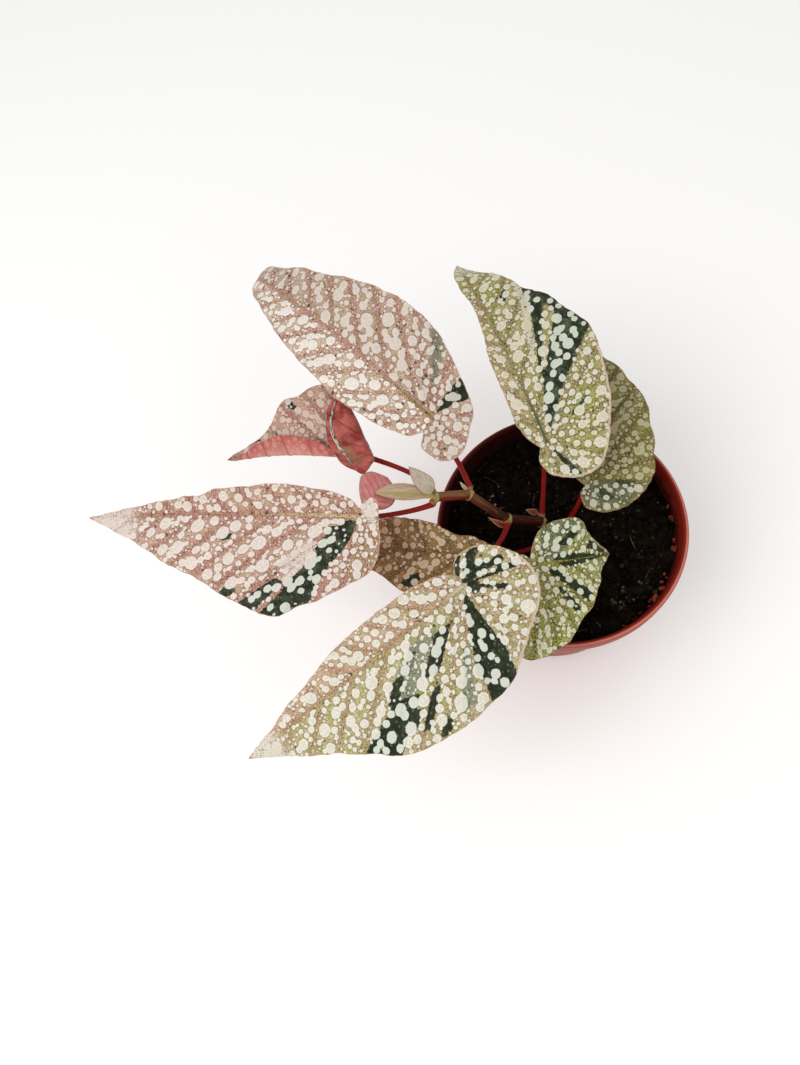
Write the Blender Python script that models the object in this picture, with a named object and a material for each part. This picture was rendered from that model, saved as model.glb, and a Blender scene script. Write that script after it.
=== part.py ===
"""Potted begonia: a young cane begonia with eight spotted leaves in a plastic nursery pot.

Metres, +Z up. The origin is the centre of the pot's base, on the surface it stands on.
The cane leans towards -X, and the leaves spread to that side.
"""

import math

import bmesh
import bpy
import numpy as np
from mathutils import Vector

MM = 0.001
GAP = 0.3
SEAT_GAP = 0.4

# Pot, in millimetres
RIM_RADIUS = 52.5
POT_HEIGHT = 92.0
BASE_RADIUS = 37.5
RIM_BAND = 9.0
LIP = 2.3
WALL = 1.3
FLOOR = 2.0
FOOT_DEPTH = 0.6
HOLE_RADIUS = 3.2
HOLE_CIRCLE = 27.0
HOLE_COUNT = 8
HOLE_SIDES = 12
GROOVE_INNER = 21.0
GROOVE_OUTER = 33.5
WALL_FOOT = 3.5
CORNER = 1.0
POT_SIDES = 48

# Soil
SOIL_EDGE = 82.0
SOIL_CROWN = 84.5
SOIL_LUMP = 0.9
SOIL_CALM_EDGE = 0.4
SOIL_RINGS = 7
SOIL_SIDES = 40
CANE_HOLE_CLEARANCE = 1.1
CANE_HOLE_SHIFT = 0.4
CANE_HOLE_SIDES = 16

# Cane: its nodes from the soil to the top, and its radius at the foot and at the top. Each node's ring
# starts below the node, is full for a short flat stretch, and ends above the node
CANE_FOOT = (-1.0, -1.0, 68.0)
CANE_NODES = (
    (-2.0, -2.0, 89.5), (-9.0, -1.2, 101.0), (-23.0, -4.3, 113.0), (-37.5, 2.6, 124.0), (-50.4, -1.3, 132.0),
)
CANE_RADIUS = 2.15
CANE_TOP_RADIUS = 1.85
NODE_SWELL = 0.45
NODE_BELOW = 1.8
NODE_FLAT = 0.7
NODE_ABOVE = 1.6
CANE_SIDES = 12

# Petioles: how strongly each leaves the cane along its heading and turns square to the blade
PETIOLE_RADIUS = 1.15
PETIOLE_WAIST = 0.15
PETIOLE_SIDES = 8
PETIOLE_STEPS = 12
LEAVING_PULL = 0.2
LEAVING_LIFT = 0.3
SEAT_PULL = 6.0
SEAT_PULL_SHARE = 0.3

# Leaves
BLADE = 0.7
YOUNG_BLADE = 0.6
LEAF_SPOKES = 42
LEAF_RINGS = (0.2, 0.42, 0.64, 0.84, 1.0)
MARGIN_WAVE = 0.5
RIB_ROUNDING = 3.0
BACK_SLOPE = 2.2
DROOP_FROM = 0.85
DROOP_SCALE = 44.0
FOLD_FROM = 3.0
FOLD_RUN = 10.0
FOLD_LEAST = 0.02
RUN_STEPS = 12

COLOURS = {
    "pot": ((0.30, 0.075, 0.05), 0.5),
    "soil": ((0.02, 0.014, 0.01), 0.95),
    "cane": ((0.20, 0.08, 0.035), 0.5),
    "petiole": ((0.32, 0.02, 0.016), 0.4),
    "pink_leaf": ((0.55, 0.33, 0.26), 0.5),
    "olive_leaf": ((0.30, 0.27, 0.10), 0.5),
    "lobe": ((0.60, 0.16, 0.18), 0.5),
    "sheath": ((0.55, 0.55, 0.38), 0.5),
    "dry_sheath": ((0.40, 0.20, 0.13), 0.8),
}


class Leaf:
    """One leaf. Its outline is drawn flat, in millimetres from where the petiole joins the blade:
    the first number runs along the midrib towards the tip, the second across it.

    start, tip: the two ends of the midrib. facing: roughly where the upper face looks.
    arch: the midrib's rise above the straight line between its ends. sway: its bow sideways.
    cup: how far each half rises away from the midrib. out and back: the margin from the sinus
    to the tip, and from the tip back. waves: the number of waves round the margin.
    blade: its thickness. droop: how far the tip hangs below the midrib's bow.
    fold: the bend's radius and angle where the half at positive v folds over the midrib.
    flap: the ray's angle, and the bend's radius and angle, where the basal lobe folds over that ray.
    """

    def __init__(self, start, tip, facing, arch, out, back, sinus, cup=0.1, sway=0.0, waves=9, blade=BLADE,
                 droop=0.0, fold=None, flap=None, colour="pink_leaf"):
        self.start = np.array(start, float)
        span = np.array(tip, float) - self.start
        self.length = np.linalg.norm(span)
        self.along = span / self.length
        face = np.array(facing, float)
        face -= face.dot(self.along) * self.along
        self.face = face / np.linalg.norm(face)
        self.across = np.cross(self.face, self.along)
        self.arch, self.sway, self.cup = arch, sway, cup
        self.waves, self.blade, self.droop = waves, blade, droop
        self.fold, self.flap, self.colour = fold, flap, colour
        ends = (self.length, 0.0)
        self.runs = ((sinus, *out, ends), (ends, *back, sinus))


def bent(distance, radius, angle):
    """Carry a distance across a fold line round a bend: straight, an arc of the given angle, straight.
    Gives the place across the line and the height above it."""
    arc = np.clip(distance / radius, 0.0, angle)
    rest = np.maximum(distance - radius * angle, 0.0)
    place = np.minimum(distance, 0.0) + radius * np.sin(arc) + rest * np.cos(arc)
    return place, radius * (1.0 - np.cos(arc)) + rest * np.sin(arc)


def blade_points(leaf, u, v, wave=0.0):
    """Lay flat leaf points on the leaf's curved surface, and lift them by wave."""
    rise = np.zeros_like(u)
    if leaf.flap:
        turn, radius, angle = leaf.flap
        ray = np.array((math.cos(turn), math.sin(turn)))
        side = math.copysign(1.0, turn)
        away = side * (-u * ray[1] + v * ray[0])
        place, lift = bent(away, radius, angle)
        shift = side * (place - away)
        u, v, rise = u - shift * ray[1], v + shift * ray[0], lift
    if leaf.fold:
        radius, angle = leaf.fold
        ease = np.clip((u - FOLD_FROM) / FOLD_RUN, FOLD_LEAST, 1.0)
        v, lift = bent(v, radius, angle * ease)
        rise = rise + lift
    x = u / leaf.length
    bow = np.where(x > 0.0, 4.0 * x * (1.0 - x), BACK_SLOPE * x)
    cupping = leaf.cup * (np.sqrt(v * v + RIB_ROUNDING**2) - RIB_ROUNDING)
    rise = rise + leaf.arch * bow + cupping + wave
    rise = rise - leaf.droop * np.maximum(x - DROOP_FROM, 0.0) ** 2 * DROOP_SCALE
    v = v + leaf.sway * np.maximum(bow, 0.0)
    return leaf.start + u[..., None] * leaf.along + v[..., None] * leaf.across + rise[..., None] * leaf.face


def blade_faces(leaf, u, v, wave):
    """Upper and lower points of the blade, one blade's thickness apart along the surface's normal."""
    step = 0.2
    top = blade_points(leaf, u, v, wave)
    du = blade_points(leaf, u + step, v, wave) - blade_points(leaf, u - step, v, wave)
    dv = blade_points(leaf, u, v + step, wave) - blade_points(leaf, u, v - step, wave)
    normal = np.cross(du, dv)
    normal /= np.linalg.norm(normal, axis=-1, keepdims=True)
    return top, top - leaf.blade * normal


def smooth_run(points, count):
    """Points at even spacing along a centripetal Catmull-Rom curve through the given ones."""
    p = np.array(points, float)
    p = np.vstack((2 * p[0] - p[1], p, 2 * p[-1] - p[-2]))
    knots = np.concatenate(([0.0], np.cumsum(np.linalg.norm(np.diff(p, axis=0), axis=1) ** 0.5)))
    fine = []
    for i in range(1, len(p) - 2):
        t = np.linspace(knots[i], knots[i + 1], RUN_STEPS, endpoint=False)[:, None]
        k = knots[i - 1 : i + 3]
        a = [((k[j + 1] - t) * p[i - 1 + j] + (t - k[j]) * p[i + j]) / (k[j + 1] - k[j]) for j in range(3)]
        b = [((k[j + 2] - t) * a[j] + (t - k[j]) * a[j + 1]) / (k[j + 2] - k[j]) for j in range(2)]
        fine.append(((k[2] - t) * b[0] + (t - k[1]) * b[1]) / (k[2] - k[1]))
    fine = np.vstack((*fine, p[-2:-1]))
    lengths = np.concatenate(([0.0], np.cumsum(np.linalg.norm(np.diff(fine, axis=0), axis=1))))
    even = np.linspace(0.0, lengths[-1], count + 1)
    return np.stack([np.interp(even, lengths, fine[:, c]) for c in range(p.shape[1])], axis=1)


def margin(leaf, spokes):
    """The closed outline as spokes points, with a point at the sinus and one at the tip."""
    reach = [np.linalg.norm(np.diff(np.array(run), axis=0), axis=1).sum() for run in leaf.runs]
    first = round(spokes * reach[0] / sum(reach))
    out = smooth_run(leaf.runs[0], first)
    back = smooth_run(leaf.runs[1], spokes - first)
    return np.vstack((out[:-1], back[:-1]))


def add_object(name, mesh_data, colour):
    """Make an object with its own material from a bmesh, and free the bmesh."""
    mesh = bpy.data.meshes.new(name)
    bmesh.ops.recalc_face_normals(mesh_data, faces=mesh_data.faces)
    mesh_data.to_mesh(mesh)
    mesh_data.free()
    mesh.shade_smooth()
    mesh.set_sharp_from_angle(angle=math.radians(40))
    body = bpy.data.objects.new(name, mesh)
    bpy.context.scene.collection.objects.link(body)
    tint, roughness = COLOURS[colour]
    finish = bpy.data.materials.new(name)
    finish.use_nodes = True
    shader = finish.node_tree.nodes["Principled BSDF"]
    shader.inputs["Base Color"].default_value = (*tint, 1.0)
    shader.inputs["Roughness"].default_value = roughness
    shader.inputs["Metallic"].default_value = 0.0
    mesh.materials.append(finish)
    return body


def add_points(mesh_data, points):
    return [mesh_data.verts.new(Vector(p) * MM) for p in np.asarray(points, float).reshape(-1, 3)]


def closed_rings(rings, mesh_data):
    """Join each ring of points to the next with triangles."""
    for lower, upper in zip(rings[:-1], rings[1:]):
        count = len(lower)
        for i in range(count):
            j = (i + 1) % count
            mesh_data.faces.new((lower[i], lower[j], upper[j]))
            mesh_data.faces.new((lower[i], upper[j], upper[i]))


def fan(centre, ring, mesh_data):
    for i, point in enumerate(ring):
        mesh_data.faces.new((centre, ring[(i + 1) % len(ring)], point))


def make_leaf(name, leaf, spokes=LEAF_SPOKES, rings=LEAF_RINGS):
    """A closed blade on a polar grid: the outline shrunk towards the petiole, ring by ring. Both faces
    are split into triangles alike, and a band joins them round the margin."""
    edge = margin(leaf, spokes)
    scale = np.array(rings)[:, None]
    turn = np.arange(spokes) / spokes * 2.0 * math.pi * leaf.waves
    wave = MARGIN_WAVE * scale**3 * np.sin(turn)[None, :]
    top, bottom = blade_faces(leaf, scale * edge[None, :, 0], scale * edge[None, :, 1], wave)
    origin = np.zeros(1)
    top_centre, bottom_centre = blade_faces(leaf, origin, origin, origin)
    mesh_data = bmesh.new()
    upper = [add_points(mesh_data, ring) for ring in top]
    lower = [add_points(mesh_data, ring) for ring in bottom]
    for rings_of, centre in ((upper, top_centre), (lower, bottom_centre)):
        fan(add_points(mesh_data, centre)[0], rings_of[0], mesh_data)
        closed_rings(rings_of, mesh_data)
    closed_rings((upper[-1], lower[-1]), mesh_data)
    return add_object(name, mesh_data, leaf.colour)


def make_tube(name, path, radii, sides, colour, flatten=1.0, widest=(0.0, 0.0, 1.0)):
    """A round or flattened rod along a path, with a radius at each point and flat ends. widest is the
    direction in which a flattened rod is thin."""
    path = np.asarray(path, float)
    heading = np.gradient(path, axis=0)
    heading /= np.linalg.norm(heading, axis=1, keepdims=True)
    thin = np.array(widest, float)
    mesh_data = bmesh.new()
    rings = []
    for point, way, radius in zip(path, heading, radii):
        thin = thin - thin.dot(way) * way
        thin /= np.linalg.norm(thin)
        broad = np.cross(way, thin)
        turn = np.arange(sides) / sides * 2.0 * math.pi
        ring = point + radius * (np.cos(turn)[:, None] * broad + flatten * np.sin(turn)[:, None] * thin)
        rings.append(add_points(mesh_data, ring))
    closed_rings(rings, mesh_data)
    fan(add_points(mesh_data, path[0])[0], rings[0], mesh_data)
    fan(add_points(mesh_data, path[-1])[0], rings[-1], mesh_data)
    return add_object(name, mesh_data, colour)


def turned(name, profile, sides, colour):
    """A closed profile of (radius, height) points, the first and last on the axis, turned about Z."""
    mesh_data = bmesh.new()
    points = [mesh_data.verts.new((radius * MM, 0.0, height * MM)) for radius, height in profile]
    edges = [mesh_data.edges.new(pair) for pair in zip(points[:-1], points[1:])]
    bmesh.ops.spin(
        mesh_data, geom=points + edges, cent=(0, 0, 0), axis=(0, 0, 1), angle=2 * math.pi, steps=sides,
        use_merge=True,
    )
    bmesh.ops.remove_doubles(mesh_data, verts=mesh_data.verts, dist=1e-6)
    bmesh.ops.triangulate(mesh_data, faces=mesh_data.faces)
    return add_object(name, mesh_data, colour)


def cut(body, cutters):
    """Take the cutters away from a body, and remove them."""
    for cutter in cutters:
        tool = body.modifiers.new("cut", "BOOLEAN")
        tool.operation = "DIFFERENCE"
        tool.solver = "EXACT"
        tool.object = cutter
        bpy.context.view_layer.update()
        cleared = bpy.data.meshes.new_from_object(body.evaluated_get(bpy.context.evaluated_depsgraph_get()))
        body.modifiers.clear()
        body.data = cleared
        bpy.data.objects.remove(cutter)


def plug(radius, low, high, place, sides):
    """A round cutter standing on Z."""
    mesh_data = bmesh.new()
    bmesh.ops.create_cone(
        mesh_data, cap_ends=True, segments=sides, radius1=radius * MM, radius2=radius * MM,
        depth=(high - low) * MM,
    )
    cutter = add_object("plug", mesh_data, "soil")
    cutter.location = (place[0] * MM, place[1] * MM, (low + high) / 2 * MM)
    cutter.hide_render = True
    cutter.display_type = "WIRE"
    bpy.context.view_layer.update()
    return cutter


def inner_radius(height):
    """The pot's inside radius at a height above the floor."""
    top = RIM_RADIUS - LIP
    bottom = BASE_RADIUS - WALL
    return bottom + (top - bottom) * (height - FLOOR) / (POT_HEIGHT - FLOOR)


def make_pot():
    """A tapered thin-walled pot with an outer rim band, a foot ring and drain holes in its floor."""
    band_foot = POT_HEIGHT - RIM_BAND
    wall_top = inner_radius(band_foot) + WALL
    profile = (
        (0.0, 0.0), (GROOVE_INNER - CORNER, 0.0), (GROOVE_INNER, FOOT_DEPTH),
        (GROOVE_OUTER, FOOT_DEPTH), (GROOVE_OUTER + CORNER, 0.0), (BASE_RADIUS - 0.5, 0.0),
        (BASE_RADIUS, 0.8), (wall_top, band_foot - CORNER), (RIM_RADIUS - 0.7, band_foot),
        (RIM_RADIUS - 0.3, band_foot + CORNER), (RIM_RADIUS, POT_HEIGHT - CORNER),
        (RIM_RADIUS - 0.5, POT_HEIGHT - 0.2), (RIM_RADIUS - 1.1, POT_HEIGHT),
        (RIM_RADIUS - LIP + 0.5, POT_HEIGHT - 0.2), (inner_radius(POT_HEIGHT - CORNER), POT_HEIGHT - CORNER),
        (inner_radius(WALL_FOOT), WALL_FOOT), (inner_radius(FLOOR) - 1.5, FLOOR), (0.0, FLOOR),
    )
    pot = turned("pot", profile, POT_SIDES, "pot")
    angles = [2 * math.pi * (i + 0.5) / HOLE_COUNT for i in range(HOLE_COUNT)]
    places = [(HOLE_CIRCLE * math.cos(a), HOLE_CIRCLE * math.sin(a)) for a in angles]
    cut(pot, [plug(HOLE_RADIUS, -FLOOR, 2.0 * FLOOR, place, HOLE_SIDES) for place in places])
    return pot


def make_soil():
    """The potting soil fills the pot to below its rim. Its top is crowned and lumpy, calmer at the wall
    and at its middle. The cane's foot stands in a round hole."""
    draw = np.random.default_rng(7)
    turn = np.arange(SOIL_SIDES) / SOIL_SIDES * 2.0 * math.pi
    mesh_data = bmesh.new()
    foot = (inner_radius(WALL_FOOT) - 2.0, FLOOR + GAP)
    bend = (inner_radius(FLOOR + 3.0) - GAP - 0.2, FLOOR + 3.0)
    rings = []
    for radius, height in (foot, bend):
        ring = np.stack((radius * np.cos(turn), radius * np.sin(turn), np.full_like(turn, height)), axis=1)
        rings.append(add_points(mesh_data, ring))
    for step in range(SOIL_RINGS):
        share = 1.0 - step / SOIL_RINGS
        radius = (inner_radius(SOIL_EDGE) - 2.0 * GAP) * share
        height = SOIL_CROWN + (SOIL_EDGE - SOIL_CROWN) * share**2
        calm = SOIL_CALM_EDGE if step == 0 else min(1.0, share + 0.3)
        lumps = draw.uniform(-SOIL_LUMP, SOIL_LUMP, SOIL_SIDES) * calm
        ring = np.stack((radius * np.cos(turn), radius * np.sin(turn), height + lumps), axis=1)
        rings.append(add_points(mesh_data, ring))
    closed_rings(rings, mesh_data)
    fan(add_points(mesh_data, (0.0, 0.0, FLOOR + GAP))[0], rings[0], mesh_data)
    fan(add_points(mesh_data, (0.0, 0.0, SOIL_CROWN))[0], rings[-1], mesh_data)
    soil = add_object("soil", mesh_data, "soil")
    place = (CANE_FOOT[0] - CANE_HOLE_SHIFT, CANE_FOOT[1] - CANE_HOLE_SHIFT)
    radius = CANE_RADIUS + CANE_HOLE_CLEARANCE
    cut(soil, [plug(radius, CANE_FOOT[2] - GAP, POT_HEIGHT, place, CANE_HOLE_SIDES)])
    return soil


def make_cane():
    """The cane runs straight from node to node. Each node is a swollen ring."""
    points = [CANE_FOOT, *CANE_NODES]
    path = [CANE_FOOT]
    radii = [CANE_RADIUS]
    for index, (low, high) in enumerate(zip(points[:-1], points[1:])):
        low, high = np.array(low), np.array(high)
        reach = np.linalg.norm(high - low)
        share = index / (len(points) - 2)
        radius = CANE_RADIUS + (CANE_TOP_RADIUS - CANE_RADIUS) * share
        plain = ((NODE_ABOVE, 0.0), (reach - NODE_BELOW, 0.0))
        swollen = ((reach - NODE_FLAT, NODE_SWELL), (reach, NODE_SWELL))
        for distance, swell in (*plain, *swollen):
            path.append(low + (high - low) * distance / reach)
            radii.append(radius + swell)
    return make_tube("cane", path, radii, CANE_SIDES, "cane")


def cane_axis(place):
    """The cane's mean direction near a place on it."""
    points = np.array([CANE_FOOT, *CANE_NODES])
    near = np.argsort(np.linalg.norm(points - place, axis=1))[0]
    low, high = points[max(near - 1, 0)], points[min(near + 1, len(points) - 1)]
    return (high - low) / np.linalg.norm(high - low)


def leaf_seat(leaf):
    """Where the petiole meets the blade's underside, and the upper face's direction there."""
    origin = np.zeros(1)
    top, bottom = blade_faces(leaf, origin, origin, origin)
    normal = (top - bottom)[0] / leaf.blade
    return bottom[0], normal


def make_petiole(name, node, heading, leaf):
    """A round stalk from the side of a cane node to the blade. It leaves the cane along heading, bows
    up a little, and turns square to the blade over its last millimetres."""
    seat, normal = leaf_seat(leaf)
    node = np.array(CANE_NODES[node]) if isinstance(node, int) else np.array(node)
    way = np.array(heading, float)
    way /= np.linalg.norm(way)
    axis = cane_axis(node)
    square = way - way.dot(axis) * axis
    square /= np.linalg.norm(square)
    start = node + square * (CANE_RADIUS + NODE_SWELL + GAP)
    end = seat - normal * SEAT_GAP
    reach = np.linalg.norm(end - start)
    t = np.linspace(0.0, 1.0, PETIOLE_STEPS + 1)[:, None]
    pull_start = start + (LEAVING_LIFT * square + way) * reach * LEAVING_PULL
    pull_end = end - normal * min(SEAT_PULL, reach * SEAT_PULL_SHARE)
    path = (1 - t) ** 3 * start + 3 * t * (1 - t) ** 2 * pull_start
    path += 3 * t**2 * (1 - t) * pull_end + t**3 * end
    radii = PETIOLE_RADIUS * (1.0 - PETIOLE_WAIST * np.sin(math.pi * t[:, 0]))
    return make_tube(name, path, radii, PETIOLE_SIDES, "petiole")


LEAVES = {
    # name: the leaf, its cane node or place on the cane, and the way its petiole leaves
    "leaf_a": (Leaf((-50, 24, 150), (-127, 104, 140), (0.0, -0.3, 1.0), 13.0, sinus=(-2, 6), droop=5.0,
        waves=11,
        out=((-7, 11), (-14, 10), (-17, 3), (-14, -6), (-8, -14), (4, -20), (17, -25), (31, -26), (47, -24),
             (58, -20), (68, -17.5), (90, -10), (104, -6)),
        back=((107, 4), (90, 9), (67, 14), (47, 17), (30, 18), (12, 15), (2, 11))), 3, (-0.35, 0.75, 0.5)),
    "leaf_b": (Leaf((-75, 13.5, 140), (-136.5, 23, 124), (0.0, -0.35, 1.0), 7.0, sinus=(-3, 1), sway=-2.0,
        cup=0.0, blade=YOUNG_BLADE, waves=6, fold=(1.2, 2.6), flap=(-1.13, 2.0, 2.9),
        out=((1, 2), (8, 3), (14, 7), (25, 10), (42, 8), (55, 3)),
        back=((53, -4), (40, -10), (34, -20), (28, -22), (22, -25), (18, -26), (12, -26), (1, -24),
              (-6, -19), (-11, -13), (-14, -5), (-12, -1), (-11, 2))), 4, (-0.3, 0.9, 0.15)),
    "leaf_c": (Leaf((-76, -15, 150), (-187, -5, 136), (0.1, -0.2, 1.0), 7.0, sinus=(0, -3), cup=0.12,
        waves=11,
        out=((3, -6), (8, -8), (17, -10), (31, -11), (53, -9), (72, -6), (93, -3)),
        back=((93, 8), (71, 19), (52, 27), (43, 32), (30, 37), (26, 37), (17, 33), (5, 27), (-6, 18),
              (-8, 9), (-7, 1), (-6, -6), (-3, -7), (-1, -6))), 4, (-0.85, -0.35, 0.4)),
    "leaf_d": (Leaf((-40, -40, 142), (-122, -96, 116), (0.1, -0.3, 1.0), 8.0, sinus=(0, -5), waves=11,
        out=((4, -8), (14, -11), (35, -12), (55, -10), (73, -7), (90, -3)),
        back=((85, 10), (67, 21), (52, 32), (42, 36), (33, 37), (20, 38), (9, 37), (0, 33), (-10, 26),
              (-20, 18), (-23, 11), (-22, 3), (-18, -4), (-11, -9), (-4, -9))), 2, (-0.2, -0.85, 0.5)),
    "leaf_e": (Leaf((-28, -20, 114), (-93, -13, 111), (0.1, -0.2, 1.0), 5.0, sinus=(-2, -3), cup=0.08,
        colour="olive_leaf",
        out=((4, -5), (10, -7), (18, -8), (25, -11), (38, -13), (46, -12), (56, -8)),
        back=((57, 5), (47, 9), (36, 16), (24, 19), (8, 18), (-4, 12), (-8, 3), (-6, -3))),
        0, (-0.7, -0.7, 0.3)),
    "leaf_f": (Leaf((-12, -27, 122), (17, -17, 102), (0.1, -0.3, 1.0), 4.0, sinus=(-3, 3), cup=0.08, waves=7,
        colour="olive_leaf",
        out=((-1, 9), (5, 14), (16, 16), (25, 10), (31, 4)),
        back=((33, -3), (24, -12), (12, -25), (2, -31), (-6, -34), (-13, -33), (-16, -26), (-15, -15),
              (-12, -4), (-8, 3), (-5, 5))), (-5.5, -1.6, 95.2), (0.25, -0.9, 0.4)),
    "leaf_g": (Leaf((-7, 17, 138), (-39, 107, 130), (0.05, -0.25, 1.0), 9.0, sinus=(-1, 3),
        colour="olive_leaf",
        out=((3, 6), (10, 8), (24, 8), (39, 7), (57, 4), (77, 4), (90, 3)),
        back=((80, -10), (60, -21), (49, -27), (36, -32), (24, -32), (11, -30), (2, -27), (-9, -21),
              (-16, -15), (-18, -8), (-17, -2), (-13, 3), (-6, 5))), 1, (0.05, 0.8, 0.6)),
    "leaf_h": (Leaf((11, 9, 120), (9, 78, 112), (0.1, -0.25, 1.0), 6.0, sinus=(-3, 3), waves=8,
        colour="olive_leaf",
        out=((0, 7), (7, 10), (23, 14), (43, 13), (61, 6)),
        back=((62, -9), (53, -13), (43, -19), (36, -22), (26, -24), (9, -25), (-1, -23), (-9, -17), (-14, -6),
              (-12, 3), (-6, 5))), 0, (0.6, 0.4, 0.5)),
}

# The back lobe of leaf C is rolled over and shows its pink underside. It hangs from the blade's underside
LOBE_ROOT = (-1.5, -4.0)
LOBE_GAP = 0.7
LOBE_TIP = (-68.2, 7.2, 133.5)

# Pale sheaths at the top of the cane
SHEATH = Leaf((-51.4, -1.4, 136.0), (-58.8, 6.6, 144), (0.0, -0.4, 1.0), 0.8, sinus=(-0.6, 0),
    blade=YOUNG_BLADE, waves=0, cup=-0.25, colour="sheath",
    out=((1, 1.8), (6, 2.6), (10.8, 1.4)), back=((9.6, -2.5), (4, -4.2), (0.8, -2.8)))
BUD_TIP = (-70.7, -4.3, 146.0)
BUD_LENGTH_SHARES = (0.0, 0.12, 0.3, 0.5, 0.66, 0.8, 0.91, 1.0)
BUD_RADII = (1.0, 1.35, 2.1, 3.2, 3.5, 3.0, 2.0, 0.5)
BUD_LIFT = 0.8
BUD_BEND = (-5.2, 2.4, 2.6)
BUD_FLATNESS = 0.62
BUD_SIDES = 10

# Dry sheaths on the older nodes: node, where each starts beside it and where it ends
DRY_SHEATHS = {
    "dry_sheath_1": ((-11.0, 1.4, 104.5), (-15.0, 1.8, 107.0)),
    "dry_sheath_2": ((-25.3, -7.1, 115.0), (-30.3, -5.3, 118.6)),
}


def make_bud():
    """The closed bud at the tip of the cane: a flat spindle that bends round under the sheath. Its path
    is a quadratic curve, pulled by the place one bend away from its start."""
    top, below = np.array(CANE_NODES[-1]), np.array(CANE_NODES[-2])
    way = (top - below) / np.linalg.norm(top - below)
    start = top + way * BUD_LIFT
    tip = np.array(BUD_TIP)
    t = np.array(BUD_LENGTH_SHARES)[:, None]
    bend = start + np.array(BUD_BEND)
    path = (1 - t) ** 2 * start + 2 * t * (1 - t) * bend + t**2 * tip
    return make_tube("terminal_bud", path, BUD_RADII, BUD_SIDES, "sheath", flatten=BUD_FLATNESS)


def make_lobe(leaf):
    """The rolled lobe starts just under the blade, beside the petiole, and drops away from it."""
    u, v = (np.array([value]) for value in LOBE_ROOT)
    top, bottom = blade_faces(leaf, u, v, np.zeros(1))
    root = bottom[0] - (top - bottom)[0] / leaf.blade * LOBE_GAP
    lobe = Leaf(root, LOBE_TIP, (0.3, -0.3, 1.0), 0.5, sinus=(-0.3, 0), blade=YOUNG_BLADE, waves=3,
        cup=-0.1, colour="lobe",
        out=((1, 1.8), (7, 5.8), (14, 8), (21, 6)), back=((23, -4.2), (15, -7.8), (7, -6.5), (1, -1.8)))
    return make_leaf("leaf_c_lobe", lobe, spokes=18, rings=(0.4, 0.75, 1.0))


def make_dry_sheath(name, start, tip):
    scrap = Leaf(start, tip, (0.0, -0.3, 1.0), 0.4, sinus=(-0.3, 0), blade=YOUNG_BLADE, waves=0, cup=-0.3,
        colour="dry_sheath", out=((0.8, 1.2), (3.0, 1.1)), back=((3.4, -0.7), (0.8, -1.2)))
    return make_leaf(name, scrap, spokes=10, rings=(0.5, 1.0))


def main():
    for old in list(bpy.data.objects):
        bpy.data.objects.remove(old)
    make_pot()
    make_soil()
    make_cane()
    for name, (leaf, node, heading) in LEAVES.items():
        make_leaf(name, leaf)
        make_petiole(name.replace("leaf", "petiole"), node, heading, leaf)
    make_lobe(LEAVES["leaf_c"][0])
    make_leaf("top_sheath", SHEATH, spokes=14, rings=(0.5, 1.0))
    make_bud()
    for name, (start, tip) in DRY_SHEATHS.items():
        make_dry_sheath(name, start, tip)


main()
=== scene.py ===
"""The looks of a potted begonia: a young cane begonia with spotted leaves in a plastic nursery pot.

The model is in metres, +Z up. The dimensions below are in millimetres, and MM turns them into metres
where a mesh is made. Every surface is a grid of points worked out as whole arrays.
"""

import math

import bpy
import numpy as np
from mathutils import Matrix, Vector


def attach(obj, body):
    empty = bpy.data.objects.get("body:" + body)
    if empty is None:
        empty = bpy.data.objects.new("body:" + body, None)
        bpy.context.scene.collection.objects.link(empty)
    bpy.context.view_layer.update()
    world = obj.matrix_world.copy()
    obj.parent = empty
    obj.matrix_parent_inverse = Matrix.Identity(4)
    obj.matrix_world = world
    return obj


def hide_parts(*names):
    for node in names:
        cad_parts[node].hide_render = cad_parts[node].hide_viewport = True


MM = 0.001
FULL_TURN = 2.0 * math.pi
UP = (0.0, 0.0, 1.0)

# Camera: where it stands, which way its three axes point, and the photograph's frame
CAMERA_PLACE = (-28.8, -120.2, 414.1)
CAMERA_RIGHT = (0.9925, 0.0, -0.122)
CAMERA_UP = (0.0423, 0.938, 0.344)
CAMERA_FORWARD = (-0.1144, 0.3466, -0.931)
FRAME_WIDTH = 800
FRAME_HEIGHT = 1065
SENSOR = 36.0

# Room, in metres and watts: the floor's reach, the place the lamps look at, and the lamps
FLOOR_REACH = 3.0
LAMP_AIM = (-0.03, 0.0, 0.12)
LAMPS = (("key", (-0.5, -0.3, 0.95), 0.6, 4.4), ("fill", (0.55, -0.5, 0.8), 0.9, 1.5))
LAMP_COLOUR = (1.0, 0.985, 0.96)
ROOM_LIGHT = 0.62

# Pot
RIM_RADIUS = 52.5
POT_HEIGHT = 92.0
BASE_RADIUS = 37.5
RIM_BAND = 9.0
LIP = 2.3
WALL = 1.3
FLOOR = 2.0
FOOT_DEPTH = 0.6
HOLE_RADIUS = 3.2
HOLE_CIRCLE = 27.0
HOLE_COUNT = 8
HOLE_RINGS = 7
POT_SIDES = 192
GROOVE_INNER = 21.0
GROOVE_OUTER = 33.5
WALL_FOOT = 3.5
POT_CORNER = 0.5
POT_SHARP = 50

# Soil, its hole for the cane's foot, and the loose bits on it
SOIL_EDGE = 82.0
SOIL_CROWN = 84.5
SOIL_RINGS = 104
SOIL_SIDES = 240
SOIL_LUMPS = ((13.0, 1.1, 11), (5.0, 0.8, 12), (2.2, 0.55, 13), (1.05, 0.35, 14))
SOIL_BANKS = ((6.0, 1.6, 15), (2.4, 1.2, 16))
CANE_HOLE_SHIFT = 0.4
CANE_HOLE = (3.3, 2.75)
STREWN_RADIUS = 47.0
FIBRES = 14
FIBRE_STEPS = 14
FIBRE_START = 46.0
FIBRE_REACH = 48.0

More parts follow.
